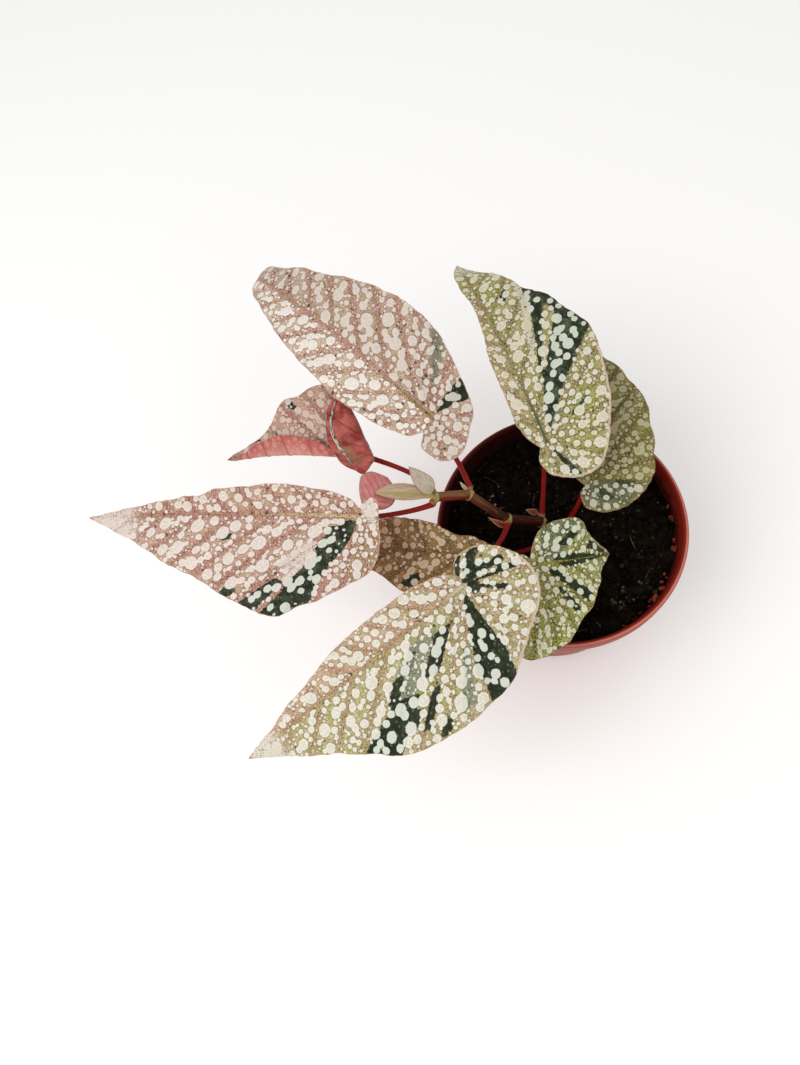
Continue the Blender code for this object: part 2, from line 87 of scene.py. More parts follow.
# The loose bits' colours, dark and light, and the size of their mottling
GRAINS = {
    # peat_crumb's dark end is dark peat made darker still as painted shade
    "peat_crumb": ((9, 5, 3), (40, 30, 21), 2.0),
    "bark_chip": ((72, 36, 22), (118, 66, 40), 1.5),
    "mineral_speck": ((120, 112, 92), (188, 182, 168), 1.0),
    "wall_chip": ((96, 30, 20), (150, 66, 50), 1.5),
    "damp_lump": ((36, 38, 26), (84, 88, 64), 1.5),
    "ash_bit": ((96, 92, 84), (168, 162, 152), 1.0),
    "root_fibre": ((62, 44, 28), (116, 94, 66), 3.0),
}

# The bits: what they are, how many, their least and most radius and their seed. Some lie on an arc, given
# by its width, its inner radius, and its middle and half spread in degrees.
SOIL_BITS = {
    "soil_crumbs": ("peat_crumb", 620, (0.35, 1.5), 81),
    "soil_bark": ("bark_chip", 18, (0.4, 1.1), 82),
    "soil_specks": ("mineral_speck", 18, (0.15, 0.4), 83),
    "soil_chips_0": ("wall_chip", 9, (0.5, 1.2), 84, (2.6, 46.2, -9, 5)),
    "soil_chips_1": ("wall_chip", 16, (0.5, 1.2), 85, (2.6, 46.2, -34, 12)),
    "soil_chips_2": ("wall_chip", 5, (0.5, 1.2), 86, (2.6, 46.2, 8, 4)),
    "soil_chips_3": ("wall_chip", 6, (0.5, 1.2), 87, (2.6, 46.2, -55, 6)),
    "soil_lumps": ("damp_lump", 18, (0.6, 1.5), 90, (10.0, 33.0, -47, 13)),
    "soil_ash": ("ash_bit", 6, (0.3, 0.8), 91, (8.0, 26.0, 146, 9)),
}

# Cane: its nodes from the soil to the top, and how far from a node it swells and is scarred
CANE_FOOT = (-1.0, -1.0, 68.0)
CANE_NODES = (
    (-2.0, -2.0, 89.5), (-9.0, -1.2, 101.0), (-23.0, -4.3, 113.0), (-37.5, 2.6, 124.0), (-50.4, -1.3, 132.0),
)
CANE_RADIUS = 2.15
CANE_TOP_RADIUS = 1.85
CANE_SIDES = 32
CANE_EASE = 5
NODE_SWELL = 0.45
SWELL_BEFORE = (-2.4, -0.7)
SWELL_AFTER = (1.9, 0.1)
SCARS = (-0.9, 0.25)
SCAR_WIDTH = 0.22
SCAR_RISE = 0.13
RING_MIDDLE = -0.35

# Petioles: the node that each leaves the cane at, or a place, and the way it leaves
PETIOLES = {
    "petiole_a": (3, (-0.35, 0.75, 0.5)),
    "petiole_b": (4, (-0.3, 0.9, 0.15)),
    "petiole_c": (4, (-0.85, -0.35, 0.4)),
    "petiole_d": (2, (-0.2, -0.85, 0.5)),
    "petiole_e": (0, (-0.7, -0.7, 0.3)),
    "petiole_f": ((-5.5, -1.6, 95.2), (0.25, -0.9, 0.4)),
    "petiole_g": (1, (0.05, 0.8, 0.6)),
    "petiole_h": (0, (0.6, 0.4, 0.5)),
}
PETIOLE_RADIUS = 1.15
PETIOLE_SIDES = 20
PETIOLE_WAIST = 0.15
PETIOLE_GROOVE = 0.1
ROOT_FLARE = (0.35, 1.2)
SEAT_FLARE = (0.3, 1.0)
ROOT_DEPTH = 1.4
SEAT_DEPTH = 1.1
LEAVING_PULL = 0.2
LEAVING_LIFT = 0.3
SEAT_PULL = 6.0
SEAT_PULL_SHARE = 0.3
GAP = 0.3

# Blades: the grid. The fan is the part round the attachment whose veins all start there.
COLUMNS = 240
BIG_ROWS = 55
SMALL_ROWS = 33
FAN_SHARE = 0.42
FAN_ANGLE = math.radians(38)
SINUS_SHARE = 0.05
VEIN_SPACING = 10.5
MARGIN_STEPS = 2400

# Blades: the curve, with its droop at the tip and how the fold eases in from the attachment
RIB_ROUNDING = 3.0
BACK_SLOPE = 2.2
DROOP_FROM = 0.85
DROOP_SCALE = 44.0
FOLD_FROM = 3.0
FOLD_RUN = 10.0
FOLD_LEAST = 0.02

# Blades: the margin. RAGS and UNEVEN hold a noise's rise, its cell and what it adds to the seed.
MARGIN_WAVE = 0.9
WAVE_DRIFT = 1.5
RAGGED = 0.8
RAGS = ((0.75, 6.5, 5), (0.3, 1.9, 6))
RAG_FADE = 6.0
UNEVEN = ((0.3, 11.0, 0), (0.12, 4.0, 1))

# Blades: the thickness, the rise and width of the ridges underneath, and the quilting
BLADE = 0.55
BLADE_EDGE = 0.3
THIN_EDGE = 3.0
RIB_RIDGE = (0.32, 0.8)
VEIN_RIDGE = (0.16, 0.5)
QUILT = 0.8
QUILT_SLOPE = 1.3
QUILT_CELL = 7.0
QUILT_EDGE = 4.0
QUILT_HEART = 8.0

# Spots: the room kept near veins, midrib and margin, the least share of a size that is still drawn, the
# small ones left out on dark ground, and the turn, step and room of a chain's next spot
NARROW_CELL = 6.5
NARROW_ROOM = 1.5
RIB_ROOM = 0.9
EDGE_ROOM = 0.3
LEAST_SHARE = 0.85
DARK_LEAST = 1.2
DARK_LEFT_OUT = 0.85
PLACED_STRETCH = 1.25
CHAIN_TURN = 2.4
CHAIN_STEP = 0.92
CHAIN_ROOM = 0.6

# Seeds, each leaf's shift in the noise, the flat sheet's width, and numbers for far away and no length
LEAF_SEED = 40
SPOT_SEED = 100
LEAF_OFFSET = 37.0
SHEET = 250.0
LATTICE = 64
FAR = 9.0
TINY = 1e-6


def linear(colour):
    """A colour given as it looks on a screen, 0 to 255, as the shader's linear colour."""
    share = np.array(colour) / 255.0
    value = np.where(share <= 0.04045, share / 12.92, ((share + 0.055) / 1.055) ** 2.4)
    return (*(float(v) for v in value), 1.0)


def unit(vectors):
    """Vectors of length one that point the same way."""
    return vectors / np.linalg.norm(vectors, axis=-1, keepdims=True)


def eased(value, low, high):
    """0 at low and 1 at high, with an even start and end."""
    share = np.clip((value - low) / (high - low), 0.0, 1.0)
    return share * share * (3.0 - 2.0 * share)


def bell(distance, width):
    """A bell curve, 1 where the distance is zero."""
    return np.exp(-((distance / width) ** 2))


def turns(sides):
    """Evenly spaced turns round a circle."""
    return np.arange(sides) / sides * FULL_TURN


def run_lengths(points, power=1.0):
    """The length of a run up to each of its points, with every step raised to a power."""
    steps = np.linalg.norm(np.diff(points, axis=0), axis=1) ** power
    return np.concatenate(([0.0], np.cumsum(steps)))


class Leaf:
    """One leaf. Its outline is drawn flat, in millimetres from where the petiole joins the blade:
    the first number runs along the midrib towards the tip, the second across it.

    start, tip: the two ends of the midrib. facing: roughly where the upper face looks.
    arch: the midrib's rise above the straight line between its ends. sway: its bow sideways.
    cup: how far each half rises away from the midrib. out and back: the margin from the sinus
    to the tip, and from the tip back. waves: the number of waves round the margin.
    fold: the bend's radius and angle where the half at positive v folds over the midrib.
    flap: the ray, radius and angle of the bend that folds the basal lobe over.
    """

    def __init__(self, start, tip, facing, arch, out, back, sinus, cup=0.1, sway=0.0, waves=9, droop=0.0,
                 fold=None, flap=None):
        self.start = np.array(start, float)
        span = np.array(tip, float) - self.start
        self.length = np.linalg.norm(span)
        self.along = span / self.length
        face = np.array(facing, float)
        self.face = unit(face - face.dot(self.along) * self.along)
        self.across = np.cross(self.face, self.along)
        self.arch, self.sway, self.cup = arch, sway, cup
        self.waves, self.droop, self.fold, self.flap = waves, droop, fold, flap
        self.sinus = np.array(sinus, float)
        ends = (self.length, 0.0)
        self.runs = ((sinus, *out, ends), (sinus, *reversed(back), ends))


def bent(distance, radius, angle):
    """Carry a distance across a fold line round a bend: straight, an arc of the given angle, straight.
    Gives the place across the line and the height above it."""
    arc = np.clip(distance / radius, 0.0, angle)
    rest = np.maximum(distance - radius * angle, 0.0)
    place = np.minimum(distance, 0.0) + radius * np.sin(arc) + rest * np.cos(arc)
    return place, radius * (1.0 - np.cos(arc)) + rest * np.sin(arc)


def blade_points(leaf, u, v, lift=0.0):
    """Lay flat leaf points on the leaf's curved surface, and raise them by lift. The midrib is a parabola
    over the line from start to tip. Each half rises from it as the root of v squared plus the square of
    the midrib's rounding."""
    rise = np.zeros_like(u)
    if leaf.flap:
        turn, radius, angle = leaf.flap
        ray = np.array((math.cos(turn), math.sin(turn)))
        side = math.copysign(1.0, turn)
        away = side * (-u * ray[1] + v * ray[0])
        place, height = bent(away, radius, angle)
        shift = side * (place - away)
        u, v, rise = u - shift * ray[1], v + shift * ray[0], height
    if leaf.fold:
        radius, angle = leaf.fold
        v, height = bent(v, radius, angle * np.clip((u - FOLD_FROM) / FOLD_RUN, FOLD_LEAST, 1.0))
        rise = rise + height
    x = u / leaf.length
    bow = np.where(x > 0.0, 4.0 * x * (1.0 - x), BACK_SLOPE * x)
    rise = rise + leaf.arch * bow + leaf.cup * (np.sqrt(v * v + RIB_ROUNDING**2) - RIB_ROUNDING) + lift
    rise = rise - leaf.droop * np.maximum(x - DROOP_FROM, 0.0) ** 2 * DROOP_SCALE
    v = v + leaf.sway * np.maximum(bow, 0.0)
    return leaf.start + u[..., None] * leaf.along + v[..., None] * leaf.across + rise[..., None] * leaf.face


def blade_normal(leaf, u, v):
    """The upper face's direction, from the surface's slopes along and across the midrib."""
    step = 0.2
    du = blade_points(leaf, u + step, v) - blade_points(leaf, u - step, v)
    dv = blade_points(leaf, u, v + step) - blade_points(leaf, u, v - step)
    return unit(np.cross(du, dv))


def smooth_run(points, count):
    """Points at even spacing along a centripetal Catmull-Rom curve through the given ones, and its
    length."""
    p = np.array(points, float)
    p = np.vstack((2 * p[0] - p[1], p, 2 * p[-1] - p[-2]))
    knots = run_lengths(p, 0.5)
    fine = []
    for i in range(1, len(p) - 2):
        t = np.linspace(knots[i], knots[i + 1], 24, endpoint=False)[:, None]
        k = knots[i - 1 : i + 3]
        a = [((k[j + 1] - t) * p[i - 1 + j] + (t - k[j]) * p[i + j]) / (k[j + 1] - k[j]) for j in range(3)]
        b = [((k[j + 2] - t) * a[j] + (t - k[j]) * a[j + 1]) / (k[j + 2] - k[j]) for j in range(2)]
        fine.append(((k[2] - t) * b[0] + (t - k[1]) * b[1]) / (k[2] - k[1]))
    fine = np.vstack((*fine, p[-2:-1]))
    lengths = run_lengths(fine)
    even = np.linspace(0.0, lengths[-1], count + 1)
    return np.stack([np.interp(even, lengths, fine[:, c]) for c in range(p.shape[1])], axis=1), lengths[-1]


def lattice_noise(x, y, cell, seed):
    """Smooth noise from -1 to 1: random values on a square lattice of the given cell, eased between."""
    values = np.random.default_rng(seed).uniform(-1.0, 1.0, (LATTICE, LATTICE))
    x, y = x / cell + 17.3, y / cell + 31.7
    i, j = np.floor(x).astype(int), np.floor(y).astype(int)
    a, b = x - i, y - j
    a, b = a * a * (3 - 2 * a), b * b * (3 - 2 * b)
    low, high = (
        values[i % LATTICE, row % LATTICE] * (1 - a) + values[(i + 1) % LATTICE, row % LATTICE] * a
        for row in (j, j + 1)
    )
    return low * (1 - b) + high * b


def scalloped(run, reach, depth, seed):
    """Push a margin in and out by slow and quick noise along it, with none at the sinus and the tip."""
    along = np.linspace(0.0, reach, len(run))
    way = unit(np.gradient(run, axis=0))
    fade = np.clip(np.minimum(along, reach - along) / RAG_FADE, 0.0, 1.0)
    push = sum(rise * lattice_noise(along, 0.0 * along, cell, seed + more) for rise, cell, more in RAGS)
    return run + (depth * fade * push)[:, None] * np.stack((-way[:, 1], way[:, 0]), axis=1)


def half_sheet(ribs, share, run, reach, total, side, rows, cell):
    """One half of a blade's grid, between the midrib's points and the margin's run. Gives its values by
    their names in Sheet."""
    angle = np.abs(np.arctan2(run[:, 1], run[:, 0]))
    lobe = np.nonzero(angle > FAN_ANGLE)[0][-1] / (len(run) - 1)
    beyond = lobe + (1 - lobe) * (share - FAN_SHARE) / (1 - FAN_SHARE)
    along = np.where(share < FAN_SHARE, lobe * share / FAN_SHARE, beyond)
    at = along * (len(run) - 1)
    margin = np.stack([np.interp(at, np.arange(len(run)), run[:, c]) for c in (0, 1)], axis=1)
    t = np.arange(1, rows + 1) / rows
    way = margin - ribs
    place = ribs[:, None] + t[None, :, None] * way[:, None]
    length = np.linalg.norm(way, axis=1)
    way = way / np.maximum(length, TINY)[:, None]
    slope = np.gradient(place, share, axis=0)
    turn = slope[..., 0] * way[:, None, 1] - slope[..., 1] * way[:, None, 0]
    count = max(3, round(reach / cell))
    pace = count * np.gradient(along, share)
    border = np.gradient(margin, share, axis=0)
    border /= np.maximum(np.linalg.norm(border, axis=1), TINY)[:, None]
    slant = np.abs(border[:, 0] * way[:, 1] - border[:, 1] * way[:, 0])
    around = along * reach / total
    half = {
        "u": place[..., 0], "v": place[..., 1], "side": np.full(turn.shape, side),
        "t": np.broadcast_to(t, turn.shape), "spacing": np.abs(turn) / pace[:, None],
        "edge": (1.0 - t)[None, :] * (length * np.clip(slant, 0.25, 1.0))[:, None],
    }
    columns = {
        "number": along * count, "reach": length, "around": around if side < 0 else 1.0 - around,
        "way_u": way[:, 0], "way_v": way[:, 1],
    }
    half.update({word: np.broadcast_to(value[:, None], turn.shape) for word, value in columns.items()})
    return {word: value[:, ::-1] if side < 0 else value for word, value in half.items()}


class Sheet:
    """A blade's grid. Columns run along both margins from the sinus to the tip, and rows run from the
    out margin over the midrib to the back margin, each row along the veins.

    u, v: the flat place. t: 0 at the midrib, 1 at the margin. number: counts cells between veins from
    the sinus. spacing: the width of such a cell. reach: from the midrib to the margin. way_u, way_v: the
    vein's direction. around: the share of the way round the margin. vein, rib, edge: distances from the
    nearest side vein, the midrib and the margin. area: the ground that each point stands for. faces_up:
    whether the grid's faces look to the upper side. Lengths are in millimetres."""

    def __init__(self, leaf, columns=COLUMNS, big_rows=BIG_ROWS, small_rows=SMALL_ROWS, cell=VEIN_SPACING,
                 ragged=0.0, seed=0):
        share = np.linspace(0.0, 1.0, columns + 1)
        beyond = leaf.length * (share - FAN_SHARE) / (1.0 - FAN_SHARE)
        rib_u = np.where(share < FAN_SHARE, 0.0, beyond)
        to_sinus = np.clip(1.0 - share / SINUS_SHARE, 0.0, 1.0)
        ribs = np.stack((rib_u, np.zeros_like(rib_u)), axis=1) + to_sinus[:, None] * leaf.sinus
        runs = [smooth_run(run, MARGIN_STEPS) for run in leaf.runs]
        reaches = [reach for _, reach in runs]
        halves = []
        for side, (run, reach) in zip((-1, 1), runs):
            run = scalloped(run, reach, side * ragged, seed)
            rows = big_rows if reach == max(reaches) else small_rows
            halves.append(half_sheet(ribs, share, run, reach, sum(reaches), side, rows, cell))
        out, back = halves
        middle = {word: (out[word][:, -1:] + back[word][:, :1]) / 2.0 for word in out}
        middle["u"], middle["v"] = ribs[:, :1], ribs[:, 1:]
        middle["t"] = middle["side"] = np.zeros_like(middle["t"])
        for word in out:
            setattr(self, word, np.concatenate((out[word], middle[word], back[word]), axis=1))
        self.vein = (0.5 - np.abs(self.number - np.round(self.number))) * self.spacing
        self.vein = np.where(np.round(self.number * 2) < 1, FAR, self.vein)
        self.rib = np.where(self.u > 0.0, np.abs(self.v), np.hypot(self.u, self.v))
        du, dv = np.gradient(self.u), np.gradient(self.v)
        cells = du[0] * dv[1] - du[1] * dv[0]
        self.area = np.abs(cells)
        self.faces_up = np.median(cells) > 0.0


def blade_lift(leaf, sheet, seed):
    """What the blade adds to its plain curve: the margin's waves, growing as t cubed; the quilting, which
    rises from every vein as one minus a falling exponential; and a little slow unevenness."""
    drift = lattice_noise(sheet.around * 40.0, sheet.t, 3.0, seed + 2)
    wave = MARGIN_WAVE * sheet.t**3 * np.sin(FULL_TURN * leaf.waves * sheet.around + WAVE_DRIFT * drift)
    from_vein = np.minimum(sheet.vein, sheet.rib * 0.8)
    heart = np.hypot(sheet.u, sheet.v)
    swell = QUILT * np.clip(sheet.spacing / QUILT_CELL, 0.0, 1.0) * (1.0 - np.exp(-from_vein / QUILT_SLOPE))
    swell *= np.clip(sheet.edge / QUILT_EDGE, 0.0, 1.0) * np.clip(heart / QUILT_HEART, 0.0, 1.0)
    uneven = sum(rise * lattice_noise(sheet.u, sheet.v, cell, seed + more) for rise, cell, more in UNEVEN)
    return wave + swell - 0.5 * QUILT + uneven * sheet.t


def nearest_point(sheet, side, number, share):
    """The grid point nearest to a vein count and a share of the way to the margin, on one half."""
    apart = np.abs(sheet.number - number) + 4.0 * np.abs(sheet.t - share) + 99.0 * (sheet.side != side)
    return apart.argmin()


def crowded(spots, place, radius, gap):
    """Whether a spot of this radius at this place would come nearer to another than the gap."""
    taken = np.array(spots).reshape(-1, 6)
    between = np.hypot(taken[:, 0] - place[0], taken[:, 1] - place[1]) - taken[:, 2] - radius
    return bool((between < gap).any())


def throw_spots(sheet, look, draw):
    """Throw spots of falling size onto the blade, after the placed ones. One lands only where it fits and
    clear of the spots before it, and a large one may grow a short chain of others along its vein.
    Each spot is its place, radius, stretch along the vein and the vein's direction."""
    u, v, area = sheet.u.ravel(), sheet.v.ravel(), sheet.area.ravel()
    way = np.stack((sheet.way_u.ravel(), sheet.way_v.ravel()), axis=1)
    dark = patch_distance(sheet, look.dark_patches).ravel() < 0.0
    surface = area.sum()
    from_vein = np.where(sheet.spacing < NARROW_CELL, np.maximum(sheet.vein, NARROW_ROOM), sheet.vein)
    room = np.minimum(np.minimum(from_vein, sheet.rib * RIB_ROOM), sheet.edge + EDGE_ROOM).ravel()
    spots = []
    for *where, radius in look.placed_spots:
        pick = nearest_point(sheet, *where)
        spots.append((u[pick], v[pick], radius, PLACED_STRETCH, *way[pick]))
    for low, high, crowd, clear in look.spot_sizes:
        tries = int(surface * crowd)
        picks = draw.choice(len(area), tries, p=area / surface)
        radii = draw.uniform(low, high, tries)
        chances = draw.uniform(0.0, 1.0, (tries, 4))
        for pick, radius, luck in zip(picks, radii, chances):
            radius = min(radius, room[pick] - clear)
            left_out = dark[pick] and radius < DARK_LEAST and luck[3] < DARK_LEFT_OUT
            if left_out or radius < low * LEAST_SHARE:
                continue
            place, direction = np.array((u[pick], v[pick])), way[pick]
            if crowded(spots, place, radius, look.spot_gap):
                continue
            spots.append((*place, radius, 1.0 + 0.3 * luck[0], *direction))
            while low > look.chain_from and luck[1] < look.chain:
                turn = (luck[2] - 0.5) * CHAIN_TURN
                aside = np.array((-direction[1], direction[0]))
                grown = radius * (0.5 + 0.45 * luck[3])
                heading = direction * math.cos(turn) + aside * math.sin(turn)
                place = place + heading * (radius + grown) * CHAIN_STEP
                near = np.argmin((u - place[0]) ** 2 + (v - place[1]) ** 2)
                tight = room[near] < grown * CHAIN_ROOM + clear
                if tight or crowded(spots[:-1], place, grown, look.spot_gap):
                    break
                spots.append((*place, grown, 1.0 + 0.15 * luck[0], *direction))
                radius, luck = grown, draw.uniform(0.0, 1.0, 4)
    return np.array(spots)


def spot_distance(sheet, spots):
    """Signed distance from the spots' edges, below zero inside. The spots run together where they meet:
    the distances are joined as minus k times the log of the sum of exp(-d / k). Also the seam between
    two spots: how far a softer joining of the same distances lies below the nearest of them."""
    blend, soft = 0.12, 0.4
    far = 3.0
    total = np.full(sheet.u.shape, math.exp(-far / blend))
    softer = np.full(sheet.u.shape, math.exp(-far / soft))
    nearest = np.full(sheet.u.shape, far)
    for u, v, radius, stretch, way_u, way_v in spots:
        du, dv = sheet.u - u, sheet.v - v
        near = (np.abs(du) < radius * stretch + far) & (np.abs(dv) < radius * stretch + far)
        along = du[near] * way_u + dv[near] * way_v
        across = dv[near] * way_u - du[near] * way_v
        distance = np.hypot(along / stretch, across) - radius
        total[near] += np.exp(-np.maximum(distance, -far) / blend)
        softer[near] += np.exp(-np.maximum(distance, -far) / soft)
        nearest[near] = np.minimum(nearest[near], distance)
    return -blend * np.log(total), nearest + soft * np.log(softer)


def patch_distance(sheet, patches):
    """Signed distance from a list of patches with rounded corners, below zero inside. Each lies on one
    half, out (-1) or back (1), between two counts of vein cells and two shares of the way to the margin.
    Two more counts let it slant: they are its bounds at its outer end. Patches that meet run together."""
    corner, join = 1.2, 1.2
    found = np.full(sheet.u.shape, FAR)
    for side, first, last, low, high, *outer in patches:
        share = np.clip((sheet.t - low) / (high - low), 0.0, 1.0)
        first, last = (a + (b - a) * share for a, b in zip((first, last), outer or (first, last)))
        across = np.maximum(first - sheet.number, sheet.number - last) * sheet.spacing + corner
        along = np.maximum(low - sheet.t, sheet.t - high) * sheet.reach + corner
        here = np.hypot(np.maximum(across, 0.0), np.maximum(along, 0.0)) - corner
        here = here + np.minimum(np.maximum(across, along), 0.0)
        here = np.where(sheet.side * side < 0, sheet.t * sheet.reach + 2.5 * join, here)
        nearer = np.clip(0.5 + 0.5 * (found - here) / join, 0.0, 1.0)
        found = found + (here - found) * nearer - join * nearer * (1.0 - nearer)
    return found


def grid_faces(index, wrap=False):
    """Four-cornered faces between neighbouring rows and columns of a grid of point numbers."""
    if wrap:
        index = np.concatenate((index, index[:, :1]), axis=1)
    corners = (index[:-1, :-1], index[1:, :-1], index[1:, 1:], index[:-1, 1:])
    return np.stack(corners, axis=-1).reshape(-1, 4)


def split_short(faces, place):
    """Start each four-cornered face at the corner whose diagonal, which splits it, is the shorter one."""
    corner = place[faces]
    first = np.linalg.norm(corner[:, 0] - corner[:, 2], axis=1)
    other = np.linalg.norm(corner[:, 1] - corner[:, 3], axis=1)
    return np.where((other < first)[:, None], np.roll(faces, 1, axis=1), faces)


def welded(keys, groups):
    """Join points whose keys are the same. Gives the points to keep, and each group's faces renumbered,
    with a corner dropped where two fall together."""
    _, first, number = np.unique(np.round(keys, 4), axis=0, return_index=True, return_inverse=True)
    number = number.ravel()
    joined = []
    for faces in groups:
        faces = number[faces]
        whole = (faces != np.roll(faces, 1, axis=1)).all(axis=1)
        rest = [tuple(dict.fromkeys(face)) for face in faces[~whole].tolist()]
        joined.append(faces[whole].tolist() + [face for face in rest if len(face) > 2])
    return first, joined


def add_piece(name, points, groups, finishes, node="", flat=None, values=None, sharp=None):
    """Make a piece in millimetres, in the place of a node if one is named. groups holds a list of faces
    for each finish. flat is a place on the piece's own sheet for each point, and values holds named
    numbers for each point."""
    mesh = bpy.data.meshes.new(name)
    faces = [face for group in groups for face in group]
    mesh.from_pydata((np.asarray(points, float) * MM).tolist(), [], faces)
    for finish in finishes:
        mesh.materials.append(finish)
    mesh.polygons.foreach_set("material_index", np.repeat(np.arange(len(groups)), [len(g) for g in groups]))
    if flat is not None:
        corner = np.zeros(len(mesh.loops), int)
        mesh.loops.foreach_get("vertex_index", corner)
        layer = mesh.uv_layers.new(name="flat")
        layer.data.foreach_set("uv", np.asarray(flat, np.float32)[corner].ravel())
    for word, numbers in (values or {}).items():
        store = mesh.attributes.new(word, "FLOAT", "POINT")
        store.data.foreach_set("value", np.asarray(numbers, np.float32).ravel())
    mesh.validate()
    mesh.shade_smooth()
    if sharp:
        mesh.set_sharp_from_angle(angle=math.radians(sharp))
    piece = bpy.data.objects.new(name, mesh)
    bpy.context.scene.collection.objects.link(piece)
    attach(piece, "root")
    if node:
        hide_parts(node)


def add_surface(name, grids, finish, node="", values=None, sharp=None):
    """Make a piece from grids of points, joined where they meet. Each grid comes with whether its rows
    close round and whether its faces are turned over."""
    faces, start = [], 0
    for grid, wrap, turned in grids:
        index = start + np.arange(grid.size // 3).reshape(grid.shape[:2])
        these = grid_faces(index, wrap)
        faces.append(these[:, ::-1] if turned else these)
        start += index.size
    points = np.vstack([grid.reshape(-1, 3) for grid, _, _ in grids])
    keep, groups = welded(points, (np.vstack(faces),))
    values = {word: value.ravel()[keep] for word, value in (values or {}).items()}
    add_piece(name, points[keep], groups, (finish,), node, values=values, sharp=sharp)


class Nodes:
    """Short names for the shader nodes used here. A number or colour is set on the socket itself, and a
    socket is linked. A colour is given as it looks on a screen, 0 to 255."""

    def __init__(self, name):
        self.material = bpy.data.materials.new(name)
        self.material.use_nodes = True
        self.tree = self.material.node_tree
        self.shader = self.tree.nodes["Principled BSDF"]

    def plug(self, socket, value):
        if isinstance(value, bpy.types.NodeSocket):
            self.tree.links.new(value, socket)
        else:
            socket.default_value = linear(value) if socket.type == "RGBA" else value

    def add(self, kind, inputs, **settings):
        node = self.tree.nodes.new("ShaderNode" + kind)
        for word, value in settings.items():
            setattr(node, word, value)
        for place, value in inputs.items():
            self.plug(node.inputs[place], value)
        return node

    def value(self, word):
        """One of the piece's own named numbers."""
        return self.add("Attribute", {}, attribute_name=word).outputs["Fac"]

    def flat(self, offset):
        """The flat place on the piece, in millimetres, moved by an offset of its own."""
        place = self.add("UVMap", {}, uv_map="flat").outputs["UV"]
        return self.scaled(place, (SHEET, SHEET, 1.0), (offset, offset, 0.0))

    def space(self):
        """The place in the piece's own space, in millimetres."""
        return self.scaled(self.add("TexCoord", {}).outputs["Object"], (1 / MM, 1 / MM, 1 / MM))

    def rod(self, squash):
        """A seamless place on a rod: round it by the turn, and along it in steps squash times as long."""
        along = self.times(self.value("along"), 1.0 / squash)
        inputs = {0: self.value("turn_x"), 1: self.value("turn_y"), 2: along}
        return self.add("CombineXYZ", inputs).outputs[0]

    def scaled(self, place, scale, offset=(0.0, 0.0, 0.0)):
        return self.add("Mapping", {"Vector": place, "Scale": scale, "Location": offset}).outputs[0]

    def parts(self, place):
        """A place's three numbers."""
        return self.add("SeparateXYZ", {0: place}).outputs

    def math(self, operation, a, b=0.0, c=0.0):
        return self.add("Math", {0: a, 1: b, 2: c}, operation=operation).outputs[0]

    def times(self, a, b):
        return self.math("MULTIPLY", a, b)

    def plus(self, a, b):
        return self.math("ADD", a, b)

    def minus(self, a, b):
        return self.math("SUBTRACT", a, b)

    def most(self, a, b):
        return self.math("MAXIMUM", a, b)

    def line(self, value, slope, start):
        """The value times the slope, plus the start."""
        return self.math("MULTIPLY_ADD", value, slope, start)

    def wobble(self, value, noise, reach):
        """A value pushed up and down by noise, by up to half the reach."""
        return self.plus(value, self.times(self.plus(noise, -0.5), reach))

    def step(self, value, low, high):
        """0 at low and 1 at high, eased between. low may be above high."""
        inputs = {"Value": value, "From Min": low, "From Max": high}
        return self.add("MapRange", inputs, interpolation_type="SMOOTHSTEP").outputs[0]

    def mix(self, share, a, b, how="MIX"):
        inputs = {0: share, 6: a, 7: b}
        return self.add("Mix", inputs, data_type="RGBA", blend_type=how).outputs[2]

    def shades(self, noise, low, high, a, b):
        """Colour a where the noise is below low, and b where it is above high."""
        return self.mix(self.step(noise, low, high), a, b)

    def tint(self, ground, share, amount, colour, how="MIX"):
        """The ground with another colour over it, by a share of the amount."""
        return self.mix(self.times(share, amount), ground, colour, how)

    def noise(self, place, size, detail=2.0, rough=0.5):
        inputs = {"Vector": place, "Scale": 1.0 / size, "Detail": detail, "Roughness": rough}
        return self.add("TexNoise", inputs).outputs[0]

    def cells(self, place, size):
        """The distance from the nearest cell's point in millimetres, and three random numbers a cell."""
        inputs = {"Vector": place, "Scale": 1.0 / size}
        node = self.add("TexVoronoi", inputs, voronoi_dimensions="2D")
        distance = self.times(node.outputs["Distance"], size)
        return distance, self.add("SeparateColor", {0: node.outputs["Color"]}).outputs

    def dots(self, place, cell, least, more, share, fade, soft, scale=None, torn=None):
        """Round dots, at most one to a cell of the given size. A dot's radius is least plus up to more.
        Dots show in the given share of the cells, and the last of them fade. soft is half the width of a
        dot's border. scale changes the radius by place. torn is a noise and how far it tears the border."""
        distance, random = self.cells(place, cell)
        size = self.times(self.line(random[1], more, least), self.step(random[0], share, share - fade))
        if scale is not None:
            size = self.times(size, scale)
        if torn is not None:
            distance = self.wobble(distance, *torn)
        return self.step(self.minus(distance, size), soft, -soft)

    def net(self, place, size):
        """The distance from the nearest border between cells, in millimetres."""
        inputs = {"Vector": place, "Scale": 1.0 / size}
        node = self.add("TexVoronoi", inputs, voronoi_dimensions="2D", feature="DISTANCE_TO_EDGE")
        return self.times(node.outputs["Distance"], size)

    def warped(self, place, size, reach):
        """The place pushed about by noise of the given size, by up to half the reach."""
        noise = self.add("TexNoise", {"Vector": place, "Scale": 1.0 / size, "Detail": 2.0}).outputs[1]
        push = self.add("VectorMath", {0: noise, 1: (-0.5, -0.5, -0.5)}, operation="ADD").outputs[0]
        inputs = {0: push, 1: (reach, reach, 0.0), 2: place}
        return self.add("VectorMath", inputs, operation="MULTIPLY_ADD").outputs[0]

